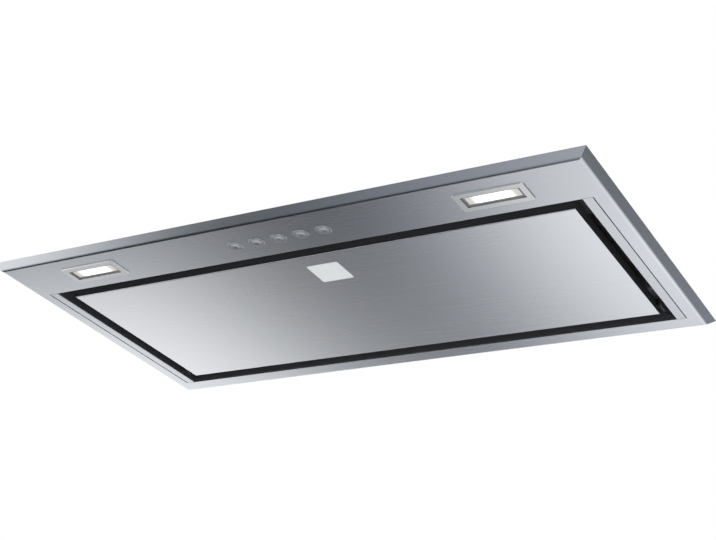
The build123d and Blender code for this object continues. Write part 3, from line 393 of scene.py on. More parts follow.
def vary_colour(tree, shader, mask, low, high):
    """Base colour from a mask, between two shares of the shader's own colour"""
    colour = shader.inputs["Base Color"].default_value[:3]
    varied = colour_mix(tree, mask, [low * c for c in colour], [min(1, high * c) for c in colour])
    tree.links.new(varied, shader.inputs["Base Color"])


def vary_roughness(tree, shader, mask, low, high):
    """Roughness from a mask, between two values"""
    node = tree.nodes.new("ShaderNodeMapRange")
    node.inputs["To Min"].default_value = low
    node.inputs["To Max"].default_value = high
    tree.links.new(mask, node.inputs["Value"])
    tree.links.new(node.outputs["Result"], shader.inputs["Roughness"])


def raise_surface(tree, shader, height, distance, strength):
    """Bump from a height"""
    bump = tree.nodes.new("ShaderNodeBump")
    bump.inputs["Distance"].default_value = distance
    bump.inputs["Strength"].default_value = strength
    tree.links.new(height, bump.inputs["Height"])
    tree.links.new(bump.outputs["Normal"], shader.inputs["Normal"])


def brush_along_width(tree, shader, anisotropy):
    """Reflections stretched front to back, as lines along the width stretch them"""
    shader.inputs["Anisotropic"].default_value = anisotropy
    direction = tree.nodes.new("ShaderNodeCombineXYZ")
    direction.inputs["Y"].default_value = 1
    tree.links.new(direction.outputs[0], shader.inputs["Tangent"])


def paint_back_sheen(tree, shader, gain):
    """Painted sheen: base colour multiplied by a gain that comes in from the front strip to behind the
    middle, brightening the steel towards the back
    """
    start, end = -100 * MM, 30 * MM
    rise = fade(tree, object_place(tree)["Y"], start, end, gain - 1)
    product = tree.nodes.new("ShaderNodeMix")
    product.data_type = "RGBA"
    product.blend_type = "MULTIPLY"
    product.inputs["Factor"].default_value = 1
    tree.links.new(shader.inputs["Base Color"].links[0].from_socket, product.inputs["A"])
    tree.links.new(arithmetic(tree, "ADD", rise, 1.0), product.inputs["B"])
    tree.links.new(product.outputs["Result"], shader.inputs["Base Color"])


def stainless_finish(settings, name, colour, back_sheen_gain=1.0):
    """Brushed stainless sheet, which may carry a painted sheen that makes it a little brighter towards
    the back
    """
    material, tree, shader = new_finish(name, colour, metallic=1.0, roughness=settings.roughness)
    lines = placed_group(tree, "brushing", {"Lines": settings.lines})
    vary_colour(tree, shader, lines["Tone"], 0.98, 1.02)
    # Painted sheen: base colour brightened towards the back
    if back_sheen_gain > 1:
        paint_back_sheen(tree, shader, back_sheen_gain)
    spread = 0.015
    least, most = settings.roughness - spread, settings.roughness + spread
    vary_roughness(tree, shader, lines["Tone"], least, most)
    raise_surface(tree, shader, lines["Height"], 0.02 * MM, strength=0.04)
    brush_along_width(tree, shader, settings.anisotropy)
    return material


def galvanised_finish(settings, name="galvanised", share=1.0):
    """Zinc-coated sheet with faint crystals"""
    colour = [share * c for c in settings.colour]
    material, tree, shader = new_finish(name, colour, metallic=0.85, roughness=0.42)
    cells = placed_group(tree, "spangle", {"Cells": settings.spangles})
    vary_colour(tree, shader, cells["Tone"], 0.86, 1.1)
    vary_roughness(tree, shader, cells["Tone"], 0.34, 0.5)
    raise_surface(tree, shader, cells["Height"], 0.05 * MM, strength=0.25)
    return material


def bright_finish(name, colour, roughness, lines=2500):
    """Turned or drawn bright metal"""
    material, tree, shader = new_finish(name, colour, metallic=1.0, roughness=roughness)
    drawn = placed_group(tree, "brushing", {"Lines": lines})
    vary_colour(tree, shader, drawn["Tone"], 0.93, 1.07)
    vary_roughness(tree, shader, drawn["Tone"], max(0.02, roughness - 0.06), roughness + 0.1)
    return material


def moulded_finish(name, colour, roughness=0.5, grains=1500, relief=0.03, coat=0.0):
    """Moulded plastic or powder coat with its grain"""
    material, tree, shader = new_finish(name, colour, roughness=roughness)
    grain = placed_group(tree, "grain", {"Grains": grains})
    vary_colour(tree, shader, grain["Tone"], 0.88, 1.12)
    vary_roughness(tree, shader, grain["Tone"], roughness - 0.07, roughness + 0.09)
    raise_surface(tree, shader, grain["Height"], relief * MM, strength=0.5)
    shader.inputs["Coat Weight"].default_value = coat
    return material


def cast_finish(name, colour, roughness, metallic=0.9):
    """Cast or sintered metal"""
    material, tree, shader = new_finish(name, colour, metallic, roughness)
    grain = placed_group(tree, "grain", {"Grains": 900})
    vary_colour(tree, shader, grain["Tone"], 0.85, 1.12)
    vary_roughness(tree, shader, grain["Tone"], roughness - 0.08, roughness + 0.1)
    raise_surface(tree, shader, grain["Height"], 0.06 * MM, strength=0.5)
    return material


def board_finish():
    """Green circuit board with faint tracks under the resist"""
    resist = (0.02, 0.13, 0.06)
    material, tree, shader = new_finish("circuit_board", resist, roughness=0.35)
    tracks = tree.nodes.new("ShaderNodeTexBrick")
    tracks.inputs["Scale"].default_value = 1
    tracks.inputs["Mortar Size"].default_value = 0.06
    tracks.inputs["Color1"].default_value = (*resist, 1)
    tracks.inputs["Color2"].default_value = (0.025, 0.15, 0.07, 1)
    tracks.inputs["Mortar"].default_value = (0.05, 0.24, 0.11, 1)
    tracks_per_metre = 160
    tree.links.new(scaled_place(tree, [tracks_per_metre] * 3), tracks.inputs["Vector"])
    tree.links.new(tracks.outputs["Color"], shader.inputs["Base Color"])
    return material


def lens_finish(settings):
    """Frosted diffuser, lit in the middle and silvery towards its ends"""
    material, tree, shader = new_finish("frosted_lens", (0.5, 0.49, 0.46), roughness=0.3)
    low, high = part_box("lamp_lens_right")
    half = (high - low) / 2
    right = centre_of("lamp_lens_right")
    middle = (centre_of("lamp_lens_left").x + right.x) / 2
    place = object_place(tree)
    across = arithmetic(tree, "ABSOLUTE", arithmetic(tree, "SUBTRACT", place["X"], middle))
    lit_width, soft_ends = 0.6 * half.x, 3.4 * MM
    lit_depth, soft_sides = 0.66 * half.y, 1.3 * MM
    edges = []
    for value, centre, reach, soft in (
        (across, right.x - middle, lit_width, soft_ends),
        (place["Y"], right.y, lit_depth, soft_sides),
    ):
        offset = arithmetic(tree, "ABSOLUTE", arithmetic(tree, "SUBTRACT", value, centre))
        edges.append(fade(tree, offset, reach + soft, reach - soft))
    end_glow = (0.16, 0.155, 0.14)
    light = colour_mix(tree, arithmetic(tree, "MULTIPLY", *edges), end_glow, settings.glow)
    tree.links.new(light, shader.inputs["Emission Color"])
    shader.inputs["Emission Strength"].default_value = settings.strength
    grain = placed_group(tree, "grain", {"Grains": 2500})
    raise_surface(tree, shader, grain["Height"], 0.05 * MM, strength=0.4)
    return material


def paint(nodes, material):
    """Puts a material on shown CAD nodes"""
    for name in nodes:
        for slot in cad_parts[name].material_slots:
            slot.material = material


# Building pieces


def centre_of(node):
    """Middle of a CAD node's box"""
    return sum(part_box(node), Vector()) / 2


def mesh_object(name, form, material):
    """Object from a bmesh, which it uses up"""
    mesh = bpy.data.meshes.new(name)
    form.to_mesh(mesh)
    form.free()
    mesh.materials.append(material)
    thing = bpy.data.objects.new(name, mesh)
    bpy.context.scene.collection.objects.link(thing)
    return thing


def new_piece(name, mesh_maker, material, body=MAIN_BODY, stands_for=()):
    """Piece from a bmesh recipe, riding on a body"""
    form = bmesh.new()
    mesh_maker(form)
    bmesh.ops.recalc_face_normals(form, faces=form.faces)
    piece = mesh_object(name, form, material)
    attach(piece, body)
    if stands_for:
        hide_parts(*stands_for)


def facing(place, outward):
    """Matrix that sets a form at a place with its Z axis outwards"""
    turn = Vector((0, 0, 1)).rotation_difference(Vector(outward))
    return Matrix.Translation(place) @ turn.to_matrix().to_4x4()


def turned_rings(form, matrix, profile, sides):
    """Rings of points round a matrix's Z axis, from pairs of radius and height"""
    rings = []
    for radius, height in profile:
        ring = []
        for step in range(sides):
            angle = 2 * pi * step / sides
            point = Vector((radius * cos(angle), radius * sin(angle), height))
            ring.append(form.verts.new(matrix @ point))
        rings.append(ring)
    return rings


def rectangle_ring(form, low, high, inset, level):
    """Four points at one height, set in from a box's sides"""
    left, right = low.x + inset, high.x - inset
    front, back = low.y + inset, high.y - inset
    corners = ((left, front), (right, front), (right, back), (left, back))
    return [form.verts.new((x, y, level)) for x, y in corners]


def join_rings(form, rings):
    """Faces between each closed ring and the next"""
    for first, second in zip(rings, rings[1:]):
        for step in range(len(first)):
            after = (step + 1) % len(first)
            form.faces.new((first[step], first[after], second[after], second[step]))


def zigzag_strand(form, runs, height, sizes, swing):
    """One strand of expanded mesh: a thin zigzag ribbon along X, from a list of runs"""
    half_strand, half_sheet = sizes
    for (x0, y0), (x1, y1) in runs:
        corners = []
        for x, y, lift in ((x0, y0, swing), (x1, y1, -swing)):
            for side in (-1, 1):
                for level in (-1, 1):
                    z = height + lift * side + level * half_sheet
                    corners.append(form.verts.new((x, y + side * half_strand, z)))
        a, b, c, d, e, f, g, h = corners
        for quad in ((a, b, f, e), (c, g, h, d), (a, e, g, c), (b, d, h, f)):
            form.faces.new(quad)


def expanded_mesh(settings, side):
    """Recipe for a filter's layers of expanded mesh, between its frame's walls"""
    low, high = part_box(f"filter_mesh_{side}")
    latch_low, latch_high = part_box(f"filter_latch_{side}")
    side_room, back_room = 2 * MM, 8 * MM
    pocket_left = latch_low.x - side_room
    pocket_right = latch_high.x + side_room
    pocket_end = latch_high.y + back_room
    half_width = settings.cell_width / 2
    row_pitch = settings.cell_depth / 2
    columns = int((high.x - low.x) / half_width)
    rows = int((high.y - low.y) / row_pitch)
    first_x = (low.x + high.x - columns * half_width) / 2
    first_y = (low.y + high.y - rows * row_pitch) / 2
    peak = row_pitch / 2
    sheet, swing = 0.4 * MM, 0.25 * MM
    sizes = (settings.strand / 2, sheet / 2)

    def recipe(form):
        for layer in range(settings.layers):
            height = low.z + (layer + 0.5) * (high.z - low.z) / settings.layers
            shift = layer % 2
            for row in range(rows):
                middle = first_y + (row + 0.5) * row_pitch
                runs = []
                for column in range(columns):
                    sign = 1 if (column + row + shift) % 2 else -1
                    start = (first_x + column * half_width, middle - sign * peak)
                    end = (first_x + (column + 1) * half_width, middle + sign * peak)
                    beside = end[0] <= pocket_left or start[0] >= pocket_right
                    if beside or middle >= pocket_end:
                        runs.append((start, end))
                zigzag_strand(form, runs, height, sizes, swing)

    return recipe


def crossed_screw(form, place, outward, size=1.0):
    """Pan-head screw with a cross recess, head outwards"""
    radius, rise, recess = [size * measure * MM for measure in (3.4, 2, 1.2)]
    arm, half_slot, floor_share = 0.5 * radius, 0.13 * radius, 0.8
    matrix = facing(place, outward)
    profile = ((radius, 0), (radius, 0.5 * rise), (0.86 * radius, 0.8 * rise), (0.6 * radius, rise))
    rings = turned_rings(form, matrix, profile, 24)
    join_rings(form, rings)
    form.faces.new(reversed(rings[0]))
    mouth, floor = [], []
    for quarter in range(4):
        turn = Matrix.Rotation(quarter * pi / 2, 3, "Z")
        for x, y in ((arm, -half_slot), (arm, half_slot), (half_slot, half_slot)):
            point = turn @ Vector((x, y, 0))
            mouth.append(form.verts.new(matrix @ (point + Vector((0, 0, rise)))))
            floor.append(form.verts.new(matrix @ (floor_share * point + Vector((0, 0, rise - recess)))))
    join_rings(form, (mouth, floor))
    form.faces.new(floor)
    rims = []
    for ring in (mouth, rings[-1]):
        rims += [form.edges.get((point, after)) for point, after in zip(ring, ring[1:] + ring[:1])]
    bmesh.ops.triangle_fill(form, edges=rims, use_beauty=True)


def screw_places():
    """The screws on the lid's flanges, the spigot's corners and the motor's arms"""
    lid_low, lid_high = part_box("housing_top")
    ribs, drop, pitch = 1.2 * MM, 7 * MM, 180 * MM
    screw_height = lid_high.z - ribs - drop
    places = []
    for side, face in ((-1, lid_low), (1, lid_high)):
        for x in (-pitch, 0, pitch):
            places.append(((x, face.y, screw_height), (0, side, 0)))
        places.append(((face.x, 0, screw_height), (side, 0, 0)))
    low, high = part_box("duct_spigot")
    inset, flange = 12 * MM, 2 * MM
    for x in (low.x + inset, high.x - inset):
        for y in (low.y + inset, high.y - inset):
            places.append(((x, y, low.z + flange), (0, 0, 1)))
    shaft = centre_of("wheel_disc")
    arm_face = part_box("motor_mount")[1].x
    arm_reach = 60 * MM
    for angle in (90, 210, 330):
        y = shaft.y + arm_reach * cos(radians(angle))
        z = shaft.z + arm_reach * sin(radians(angle))
        places.append(((arm_face, y, z), (1, 0, 0)))
    return places


def cover_screw_places():
    """Two small screws across the terminal cover"""
    low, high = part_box("terminal_cover")
    inset = 8 * MM
    middle = (low + high) / 2
    return [((x, middle.y, high.z), (0, 0, 1)) for x in (low.x + inset, high.x - inset)]


def weld_places():
    """Spot welds along the housing's upright corners"""
    low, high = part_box("housing_front")
    side_inset, foot, first, pitch = 6 * MM, 8 * MM, 28 * MM, 31 * MM
    front = low.y + foot
    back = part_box("housing_back")[1].y - foot
    places = []
    for x in (low.x + side_inset, high.x - side_inset):
        for step in range(6):
            z = first + pitch * step
            places.append(((x, front, z), (0, -1, 0)))
            places.append(((x, back, z), (0, 1, 0)))
    return places


def spot_weld(form, place, outward, radius):
    """Shallow pressed ring of a spot weld"""
    matrix = facing(place, outward)
    rim, dip = 0.12 * MM, 0.03 * MM
    profile = ((radius, 0), (0.92 * radius, rim), (0.72 * radius, rim), (0.6 * radius, dip))
    rings = turned_rings(form, matrix, profile, 20)
    join_rings(form, rings)
    centre = form.verts.new(matrix @ Vector((0, 0, dip)))
    inner = rings[-1]
    for point, after in zip(inner, inner[1:] + inner[:1]):
        form.faces.new((point, after, centre))


def rounded_plate(form, centre, width, depth, bottom, top, corner, ease):
    """Thin plate with round corners and an eased lower edge"""
    steps = 5
    outline = []
    for x_side, y_side, start in ((1, 1, 0), (-1, 1, 90), (-1, -1, 180), (1, -1, 270)):
        for step in range(steps + 1):
            angle = radians(start + 90 * step / steps)
            x = x_side * (width / 2 - corner) + corner * cos(angle)
            y = y_side * (depth / 2 - corner) + corner * sin(angle)
            outline.append((x, y))
    rings = []
    for share, z in ((1, top), (1, bottom + ease), (1 - 2 * ease / width, bottom)):
        ring = [(centre[0] + share * x, centre[1] + share * y, z) for x, y in outline]
        rings.append([form.verts.new(point) for point in ring])
    join_rings(form, rings)
    form.faces.new(rings[0])
    form.faces.new(reversed(rings[-1]))


def lens_shade_seal(form, low, high):
    """Seal in the groove round a diffuser's raised field, with a thin lip over the field's edge; its
    dark grey also paints the groove's shade as a dark outline round the field
    """
    outer, bevel_foot, bevel_top, lip = [inset * MM for inset in (1.5, 2.3, 2.9, 3.5)]
    seat = high.z - 2 * MM
    foot = low.z - 0.1 * MM
    bevel = bevel_top - bevel_foot
    section = (
        (outer, seat),
        (outer, foot),
        (lip, foot),
        (lip, low.z),
        (bevel_top, low.z),
        (bevel_foot, low.z + bevel),
        (bevel_foot, seat),
    )
    rings = [rectangle_ring(form, low, high, inset, level) for inset, level in section]
    join_rings(form, rings + rings[:1])


# Operators


class HOOD_OT_finish_face(Operator):
    """Brushed stainless on the face, the side strips and the panel, black inside the gap; the face has a
    painted sheen towards the back, and the panel's colour is raised as painted sheen
    """

    bl_idname = "hood.finish_face"
    bl_label = "Finish the face"

    def execute(self, context):
        settings = context.scene.range_hood.stainless
        face = stainless_finish(settings, "face_steel", settings.colour, settings.back_sheen_gain)
        paint(("face_tray",), face)
        strip = stainless_finish(settings, "strip_steel", settings.colour)
        paint(("side_strip_left", "side_strip_right"), strip)
        # The panel's steel colour is brightened as painted sheen
        paint(("panel_face",), stainless_finish(settings, "panel_steel", settings.panel_colour_with_sheen))
        black = moulded_finish("black_coat", (0.03, 0.032, 0.037), 0.55, grains=1800, relief=0.04)
        paint(("suction_frame", "panel_pan"), black)
        bracket = moulded_finish("bracket_coat", (0.02, 0.021, 0.025), 0.7, grains=1800, relief=0.04)
        paint(("panel_hinge_brackets",), bracket)
        paint(("panel_catch_magnets",), moulded_finish("ferrite", (0.03, 0.03, 0.032), 0.6, grains=700))
        paint(("panel_hinge_pins",), cast_finish("pin_oxide", (0.02, 0.02, 0.024), 0.6, metallic=0.4))
        return {"FINISHED"}


class HOOD_OT_add_plate(Operator):
    """Blank plate on the panel"""

    bl_idname = "hood.add_plate"
    bl_label = "Add the blank plate"

    def execute(self, context):
        settings = context.scene.range_hood.plate
        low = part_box("panel_face")[0]
        sideways, set_back = 10.6 * MM, 15 * MM
        corner, ease = 1.5 * MM, 0.12 * MM
        width, depth = settings.width, settings.depth
        centre = (sideways, low.y + set_back + depth / 2)
        bottom = low.z - settings.thickness
        finish = moulded_finish("plate_coat", settings.colour, 0.3, grains=1200, relief=0.01, coat=0.3)

        def recipe(form):
            rounded_plate(form, centre, width, depth, bottom, low.z, corner, ease)

        new_piece("panel_plate", recipe, finish, body="suction_panel")
        return {"FINISHED"}


class HOOD_OT_finish_controls(Operator):
    """Buttons, their rings and the switch parts behind them"""

    bl_idname = "hood.finish_controls"
    bl_label = "Finish the controls"

    def execute(self, context):
        caps = ("button_off", "button_low", "button_medium", "button_high", "button_light")
        paint(caps, bright_finish("button_satin", (0.54, 0.556, 0.585), 0.4))
        paint(("button_rings",), bright_finish("ring_satin", (0.54, 0.556, 0.585), 0.34))
        black = moulded_finish("switch_moulding", (0.03, 0.03, 0.033), 0.5)
        paint(("switch_housing", "switch_cover", "micro_switches"), black)
        paint(("switch_board", "lamp_boards"), board_finish())
        return {"FINISHED"}


class HOOD_OT_finish_lamps(Operator):
    """Bezels, lit diffusers with their seals, whose dark grey paints the shade of the groove round each
    diffuser, and lamp housings
    """

    bl_idname = "hood.finish_lamps"
    bl_label = "Finish the lamps"

    def execute(self, context):
        settings = context.scene.range_hood.lamp
        bezel = bright_finish("bezel_satin", (0.74, 0.745, 0.755), 0.26)
        casting = cast_finish("lamp_casting", (0.6, 0.61, 0.62), 0.42)
        paint(("lamp_bezel_left", "lamp_bezel_right"), bezel)
        paint(("lamp_lens_left", "lamp_lens_right"), lens_finish(settings))
        paint(("lamp_housing_left", "lamp_housing_right"), casting)

        def recipe(form):
            for side in ("left", "right"):
                lens_shade_seal(form, *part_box(f"lamp_lens_{side}"))

        # A real seal, dark grey so that it also paints the shade in the groove round each diffuser
        rubber = moulded_finish("shade_seal_rubber", (0.19, 0.185, 0.185), 0.7)
        new_piece("lens_shade_seals", recipe, rubber)
        return {"FINISHED"}


class HOOD_OT_finish_housing(Operator):
    """Galvanised housing with spot welds"""

    bl_idname = "hood.finish_housing"
    bl_label = "Finish the housing"

    def execute(self, context):
        settings = context.scene.range_hood.housing
        zinc = galvanised_finish(settings)
        paint(("housing_front", "housing_back", "housing_left", "housing_right", "housing_top"), zinc)

        def recipe(form):
            for place, outward in weld_places():
                spot_weld(form, place, outward, settings.weld_radius)

        new_piece("spot_welds", recipe, zinc)
        return {"FINISHED"}


class HOOD_OT_add_screws(Operator):
    """Pan-head screws with cross recesses"""

    bl_idname = "hood.add_screws"
    bl_label = "Add the screws"

    def execute(self, context):
        def recipe(form):
            for place, outward in screw_places():
                crossed_screw(form, place, outward)

        finish = bright_finish("zinc_plate", (0.66, 0.65, 0.61), 0.25)
        new_piece("cross_screws", recipe, finish, stands_for=("pan_head_screws",))
        return {"FINISHED"}


class HOOD_OT_finish_blower(Operator):
    """Casing, wheel and motor of the blower"""

    bl_idname = "hood.finish_blower"
    bl_label = "Finish the blower"

    def execute(self, context):
        settings = context.scene.range_hood.housing
        casing = galvanised_finish(settings, "casing_zinc", share=0.92)
        paint(("scroll_band", "scroll_side_left", "scroll_side_right", "motor_mount"), casing)
        nylon = moulded_finish("wheel_nylon", (0.035, 0.036, 0.04), 0.5, grains=1100)
        paint(("wheel_disc", "wheel_blades_left", "wheel_blades_right"), nylon)
        enamel = cast_finish("motor_enamel", (0.11, 0.115, 0.12), 0.45, metallic=0.3)
        paint(("motor_case", "motor_end_cap"), enamel)
        bronze = cast_finish("sintered_bronze", (0.5, 0.33, 0.17), 0.4, metallic=1.0)
        paint(("motor_bearings",), bronze)
        rubber = moulded_finish("bush_rubber", (0.02, 0.02, 0.02), 0.75, grains=600)
        paint(("motor_bushes",), rubber)
        paint(("motor_shaft", "flap_pin"), bright_finish("ground_steel", (0.62, 0.62, 0.62), 0.2))
        return {"FINISHED"}


class HOOD_OT_finish_outlet(Operator):
    """Spigot, flaps and electrical boxes"""

    bl_idname = "hood.finish_outlet"
    bl_label = "Finish the outlet and boxes"

    def execute(self, context):
        spigot = moulded_finish("spigot_moulding", (0.028, 0.029, 0.032), 0.48, grains=1000, relief=0.05)
        flap = moulded_finish("flap_moulding", (0.45, 0.45, 0.43), 0.45, grains=1200)
        grey = moulded_finish("box_moulding", (0.42, 0.43, 0.42), 0.5, grains=1000, relief=0.04)
        capacitor = moulded_finish(
            "capacitor_case", (0.75, 0.75, 0.72), 0.3, grains=900, relief=0.02, coat=0.3
        )
        paint(("duct_spigot",), spigot)
        paint(("flap_left", "flap_right"), flap)
        paint(("terminal_box", "terminal_cover", "control_box"), grey)
        paint(("terminal_block",), moulded_finish("block_moulding", (0.75, 0.75, 0.7), 0.4))
        paint(("cable_gland",), moulded_finish("gland_nylon", (0.02, 0.02, 0.022), 0.42))
        paint(("run_capacitor",), capacitor)

        def recipe(form):
            for place, outward in cover_screw_places():
                crossed_screw(form, place, outward, size=0.8)

        zinc = bright_finish("cover_zinc", (0.6, 0.59, 0.55), 0.28)
        new_piece("cover_screws", recipe, zinc)
        return {"FINISHED"}


class HOOD_OT_add_filters(Operator):
    """Filter frames, latches and layered expanded mesh"""

    bl_idname = "hood.add_filters"
    bl_label = "Add the filter meshes"

    def execute(self, context):
        settings = context.scene.range_hood.grease_filter
        channel = bright_finish("filter_channel", (0.72, 0.73, 0.74), 0.35, lines=1600)
        strands = cast_finish("mesh_strands", (0.68, 0.69, 0.7), 0.35, metallic=1.0)
        nylon = moulded_finish("latch_nylon", (0.02, 0.02, 0.022))
        paint(("filter_frame_left", "filter_frame_right"), channel)
        paint(("filter_latch_left", "filter_latch_right"), nylon)
        for side in ("left", "right"):
            name = f"filter_mesh_{side}"
            recipe = expanded_mesh(settings, side)
            new_piece(f"expanded_{name}", recipe, strands, stands_for=(name,))
        return {"FINISHED"}


class HOOD_OT_set_studio(Operator):
    """Camera, soft lamps, floor, cabinet board and the tent that the steel reflects"""

    bl_idname = "hood.set_studio"
    bl_label = "Set the studio"

    def execute(self, context):
        settings = context.scene.range_hood.studio
        context.scene.view_settings.view_transform = "Standard"
        add_camera(settings)
        add_world(settings)
        add_lamps(settings)
        add_floor(settings)
        add_cabinet_board()
        add_tent(context.scene.range_hood.tent)
        return {"FINISHED"}


# Studio


def add_camera(settings):
    """Camera below and to the right, as the photograph was taken"""
    camera = bpy.data.cameras.new("photo_camera")
    camera.lens = settings.focal_length
    camera.sensor_width = 36
    camera.clip_start = 0.01
    camera.clip_end = 100
    holder = bpy.data.objects.new("photo_camera", camera)
    bpy.context.scene.collection.objects.link(holder)
    place = Vector(settings.camera_place)
    sight = Vector(settings.camera_aim) - place
    turn = sight.to_track_quat("-Z", "Y") @ Quaternion((0, 0, 1), settings.camera_roll)
    holder.matrix_world = Matrix.Translation(place) @ turn.to_matrix().to_4x4()
    bpy.context.scene.camera = holder


def shader_mix(tree, factor, first, second):
    """Mix of two shaders by a socket"""
    node = tree.nodes.new("ShaderNodeMixShader")
    tree.links.new(factor, node.inputs[0])
    tree.links.new(first, node.inputs[1])
    tree.links.new(second, node.inputs[2])
    return node.outputs[0]


def seen_directly(tree):
    """1 for rays that show a background: from the camera, in a reflection or through glass"""
    rays = tree.nodes.new("ShaderNodeLightPath").outputs
    total = arithmetic(tree, "MAXIMUM", rays["Is Camera Ray"], rays["Is Glossy Ray"])
    return arithmetic(tree, "MAXIMUM", total, rays["Is Transmission Ray"])


def add_world(settings):
    """White background and an even soft light"""
    world = bpy.data.worlds.new("studio_world")
    bpy.context.scene.world = world
    world.use_nodes = True
    tree = world.node_tree
    tree.nodes.clear()
    output = tree.nodes.new("ShaderNodeOutputWorld")
    light = tree.nodes.new("ShaderNodeBackground")
    light.inputs["Color"].default_value = (0.97, 0.985, 1.0, 1)
    light.inputs["Strength"].default_value = settings.ambient
    white = tree.nodes.new("ShaderNodeBackground")
    white.inputs["Color"].default_value = (1, 1, 1, 1)
    mixed = shader_mix(tree, seen_directly(tree), light.outputs[0], white.outputs[0])
    tree.links.new(mixed, output.inputs["Surface"])


def add_lamps(settings):
    """One large soft lamp above the left front and one below the right front"""
    aim = Vector((0, 0, 0.1))
    for name, place, size, share in (
        ("upper_lamp", (-1.3, -1.5, 1.7), 1.6, 1.0),
        ("lower_lamp", (1.2, -1.3, -1.2), 1.4, 0.6),
    ):
        light = bpy.data.lights.new(name, "AREA")
        light.shape = "SQUARE"
        light.size = size
        light.energy = settings.lamp_power * share
        holder = bpy.data.objects.new(name, light)
        bpy.context.scene.collection.objects.link(holder)
        turn = (aim - Vector(place)).to_track_quat("-Z", "Y")
        holder.matrix_world = Matrix.Translation(place) @ turn.to_matrix().to_4x4()


def add_floor(settings):
    """Plain pale floor, well below the hood, which a look from under it passes"""
    material, tree, shader = new_finish("studio_floor", settings.floor_colour, roughness=0.8)
    grain = placed_group(tree, "grain", {"Grains": 3})
    vary_colour(tree, shader, grain["Height"], 0.99, 1.01)
    back = tree.nodes.new("ShaderNodeNewGeometry").outputs["Backfacing"]
    clear = tree.nodes.new("ShaderNodeBsdfTransparent").outputs[0]
    output = tree.nodes["Material Output"]
    tree.links.new(shader_mix(tree, back, shader.outputs[0], clear), output.inputs["Surface"])
    reach = 40
    form = bmesh.new()
    bmesh.ops.create_circle(form, cap_ends=True, radius=reach, segments=128)
    bmesh.ops.translate(form, verts=form.verts, vec=(0, 0, settings.floor_height))
    return mesh_object("studio_floor", form, material)


def add_cabinet_board():
    """White underside of the cabinet, seen only from below, with a cut-out under the rim"""
    material = bpy.data.materials.new("cabinet_board")
    material.use_nodes = True
    tree = material.node_tree
    tree.nodes.clear()
    output = tree.nodes.new("ShaderNodeOutputMaterial")
    rays = tree.nodes.new("ShaderNodeLightPath").outputs
    back = tree.nodes.new("ShaderNodeNewGeometry").outputs["Backfacing"]
    front = arithmetic(tree, "SUBTRACT", 1.0, back)
    shown = arithmetic(tree, "MULTIPLY", rays["Is Camera Ray"], front)
    clear = tree.nodes.new("ShaderNodeBsdfTransparent").outputs[0]
    white = tree.nodes.new("ShaderNodeEmission").outputs[0]
    mixed = shader_mix(tree, shown, clear, white)
    tree.links.new(mixed, output.inputs["Surface"])
    low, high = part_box("face_tray")
    overlap, reach, gap = 1 * MM, 6, 0.05 * MM
    form = bmesh.new()
    rings = [rectangle_ring(form, low, high, inset, high.z + gap) for inset in (overlap, -reach)]
    join_rings(form, rings)
    board = mesh_object("cabinet_board", form, material)
    board.visible_shadow = False
    return board


# Cloths of the tent, each between a pair of slopes where it starts and where it is full


def left_cloth(tree, across, along, level):
    """Cloth on the left, in the back half"""
    side, front = (-1.2, -1.9), (0.65, 1.7)
    return combined(tree, "MULTIPLY", (fade(tree, across, *side, level), fade(tree, along, *front)))


def right_cloth(tree, across, along, level):
    """Cloth on the right, with a leaning left side, darker towards the back"""
    lean, dark_share = -0.1, 0.4
    left_side, right_side, front, back = (-1.0, -0.48), (1.8, 0.5), (0.6, 1.15), (1.4, 2.4)
    leaning = arithmetic(tree, "ADD", across, arithmetic(tree, "MULTIPLY", along, lean))
    spans = (
        fade(tree, leaning, *left_side, level),
        fade(tree, across, *right_side),
        fade(tree, along, *front),
        arithmetic(tree, "SUBTRACT", 1.0, fade(tree, along, *back, dark_share)),
    )
    return combined(tree, "MULTIPLY", spans)


def near_cloth(tree, across, along, level):
    """Cloth low in front, full on the left and about half as bright on the right"""
    left_side, right_side, back = (-0.8, -1.35), (-0.9, 0.1), (-0.05, -0.45)
    right_share = 0.55
    left = fade(tree, across, *left_side, level)
    right = fade(tree, across, *right_side, right_share * level)
    return arithmetic(tree, "MULTIPLY", arithmetic(tree, "ADD", left, right), fade(tree, along, *back))


def fill_cloth(tree, across, along, level):
    """Even cloth all round beyond the others, and beneath them at the front right"""
    left, right, back, front = (-2.2, -2.9), (3.0, 3.8), (3.2, 4.2), (-1.1, -1.7)
    beneath_left, beneath_back = (-0.35, 0.15), (1.0, 0.4)
    beneath = (fade(tree, across, *beneath_left), fade(tree, along, *beneath_back))
    sides = (
        combined(tree, "MULTIPLY", beneath),
        fade(tree, across, *left),
        fade(tree, across, *right),
        fade(tree, along, *back),
        fade(tree, along, *front),
    )
    return arithmetic(tree, "MULTIPLY", combined(tree, "MAXIMUM", sides), level)


